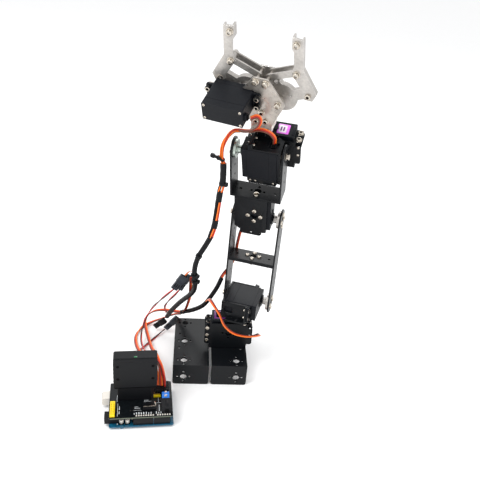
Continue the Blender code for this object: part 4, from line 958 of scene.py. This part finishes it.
def turned(bm, at, profile, sides, index):
    """A round upright shape from its profile of radii and heights."""
    x, y, z = at
    loft(bm, [[Vector((x + r * math.cos(a), y + r * math.sin(a), z + h)) for a in angles(sides)]
              for r, h in profile], index)


def can(bm, at, radius, height, side_index, base_index):
    """A small metal can capacitor on its base."""
    x, y, z = at
    half = radius + 0.3
    pillow(bm, (x - half, y - half, z), (x + half, y + half, z + 1), 0.25, base_index)
    turned(bm, at, ((radius * 0.94, 0.9), (radius * 0.94, 1.4), (radius, 1.8), (radius, height - 0.5),
                    (radius * 0.92, height), (radius * 0.2, height - 0.06)), 20, side_index)


def solder(bm, at, radius, index):
    """A solder cone with its pin's end."""
    profile = [(radius * r, h) for r, h in ((1, 0), (0.8, 0.25), (0.4, 0.7), (0.3, 1.3), (0.1, 1.4))]
    turned(bm, at, profile, 10, index)


def barrel(bm, x, front, rear, radius, z):
    """A lying round body from front to rear, a little flattened."""
    profile = ((front, radius * 0.9), (front + 0.5, radius), (rear - 0.5, radius), (rear, radius * 0.9))
    loft(bm, [[Vector((x + r * math.cos(a), y, z + r * 0.72 * math.sin(a))) for a in angles(ROUND)]
              for y, r in profile])


# ------ plugs and ties on the harness


def plug_details():
    """In-line plug pairs in place of their plain blocks, with a latch, a collar and wires' mouths, the mouths
    as near-black plates: painted shade.
    """
    pairs = {
        "joined_plugs_left": ((-65.2, -8.6, 127.6), (-77, -8.6, 109.4), 9, 4.4, "plug_grey", "waist"),
        "joined_plugs_right": ((-60.4, -3, 125.6), (-70.6, -3, 105), 8, 4, "plug_grey", "waist"),
        "joined_plugs_low": ((-88.2, 49.4, 21.2), (-101.6, 54.4, 6.2), 8, 4, "moulded_black", "base"),
        "joined_plugs_rear": ((-71.4, 50.2, 25), (-87.4, 50.2, 6.6), 8, 4, "plug_grey", "base"),
    }
    wire_places = (-2.3, 0, 2.3)
    for name, (start, end, width, thick, finish, body) in pairs.items():
        start, end = Vector(start), Vector(end)
        along = (end - start).normalized()
        away = along.cross(Z).normalized()
        place = AT @ matrix(start, away.cross(along).normalized(), away, along)
        length, w, t = (end - start).length, width / 2, thick / 2
        bm = bmesh.new()
        pillow(bm, (-w, -t, 0.2), (w, t, length * 0.52), 0.5)
        pillow(bm, (-w + 0.6, -t + 0.5, length * 0.5), (w - 0.6, t - 0.5, length - 0.2), 0.5)
        for side in (-1, 1):
            latch, mouth = side * t, side * (t - 0.65)
            pillow(bm, (-w + 0.9, latch - 0.3, length * 0.1), (w - 0.9, latch + 0.3, length * 0.42), 0.25)
            for x in wire_places:
                # A near-black plate in each wire's mouth: painted shade.
                pillow(bm, (x - 0.6, mouth - 0.2, length * 0.58), (x + 0.6, mouth + 0.2, length * 0.82),
                       0.1, 1)
        for x in wire_places:
            # Near-black blocks where the wires enter the housing: painted shade.
            pillow(bm, (x - 0.8, -0.8, -0.6), (x + 0.8, 0.8, 0.4), 0.3, 1)
        made = piece(name + "_housings", bm, place, body, [finish, "near_black_and_painted_shade"])
        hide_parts(name)


def ties():
    """Zip ties round the harness, each with its lock.

    Each row: name, place, direction of the lead, radius, side of the lock, lead."""
    for name, at, along, radius, lock_side, lead in (
            ("tie_forearm", (-32.6, -9.4, 270.5), (0.45, -0.1, 1), 2.9, (-1, -0.2, 0.5), "harness_wrist"),
            ("tie_middle", (-50.6, -20, 161.4), (0.5, 0, 1), 3.2, (-0.4, -1, 0.2), "harness_shoulder"),
            ("tie_upper", (-30.2, -11, 244), (-0.1, -0.1, 1), 3.3, (1, -0.6, 0), "harness_elbow"),
            ("tie_plugs", (-54.4, -15.8, 134), (0, -0.2, 1), 3.5, (1, -0.6, 0), "harness_shoulder"),
            ("tie_low", (-53.7, -13.6, 125), (-0.15, -0.3, 1), 3.5, (1, -0.5, 0), "harness_shoulder")):
        at, along, lock_side = Vector(at), Vector(along).normalized(), Vector(lock_side)
        bm = bmesh.new()
        washer(bm, at - along * 1.3, along, radius + 0.5, radius - 0.35, 2.6)
        band = len(bm.verts)
        pillow(bm, (-2.0, -2.0, -0.4), (2.0, 2.0, 2.6), 0.5)
        if name == "tie_forearm":
            pillow(bm, (-1.3, -1.3, 2), (1.3, 1.3, 6), 0.5)
            pillow(bm, (-2.1, -2.0, 5), (2.1, 2.0, 10), 0.9)
        out = (lock_side - along * lock_side.dot(along)).normalized()
        bm.verts.ensure_lookup_table()
        bmesh.ops.transform(bm, matrix=matrix(at + out * radius, along.cross(out), along, out),
                            verts=bm.verts[band:])
        tie = object_of(name, bm, AT, ["moulded_black"])
        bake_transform(tie)


def glands():
    """The rubber sleeve where each lead leaves its servo."""
    for name, body in SERVO_BODY.items():
        bm = bmesh.new()
        pillow(bm, (-23.6, -14.2, -2.8), (-20.2, -12.6, 2.8), 0.4)
        piece(f"{name}_gland", bm, name, body, ["near_black_and_painted_shade"])


camera()
finishes()
studio()
finish_nodes()
wiring()
servo_details()
bracket_fasteners()
gripper_details()
labels()
board_components()
board_sockets()
servo_plugs()
receiver_details()
plug_details()
ties()
glands()
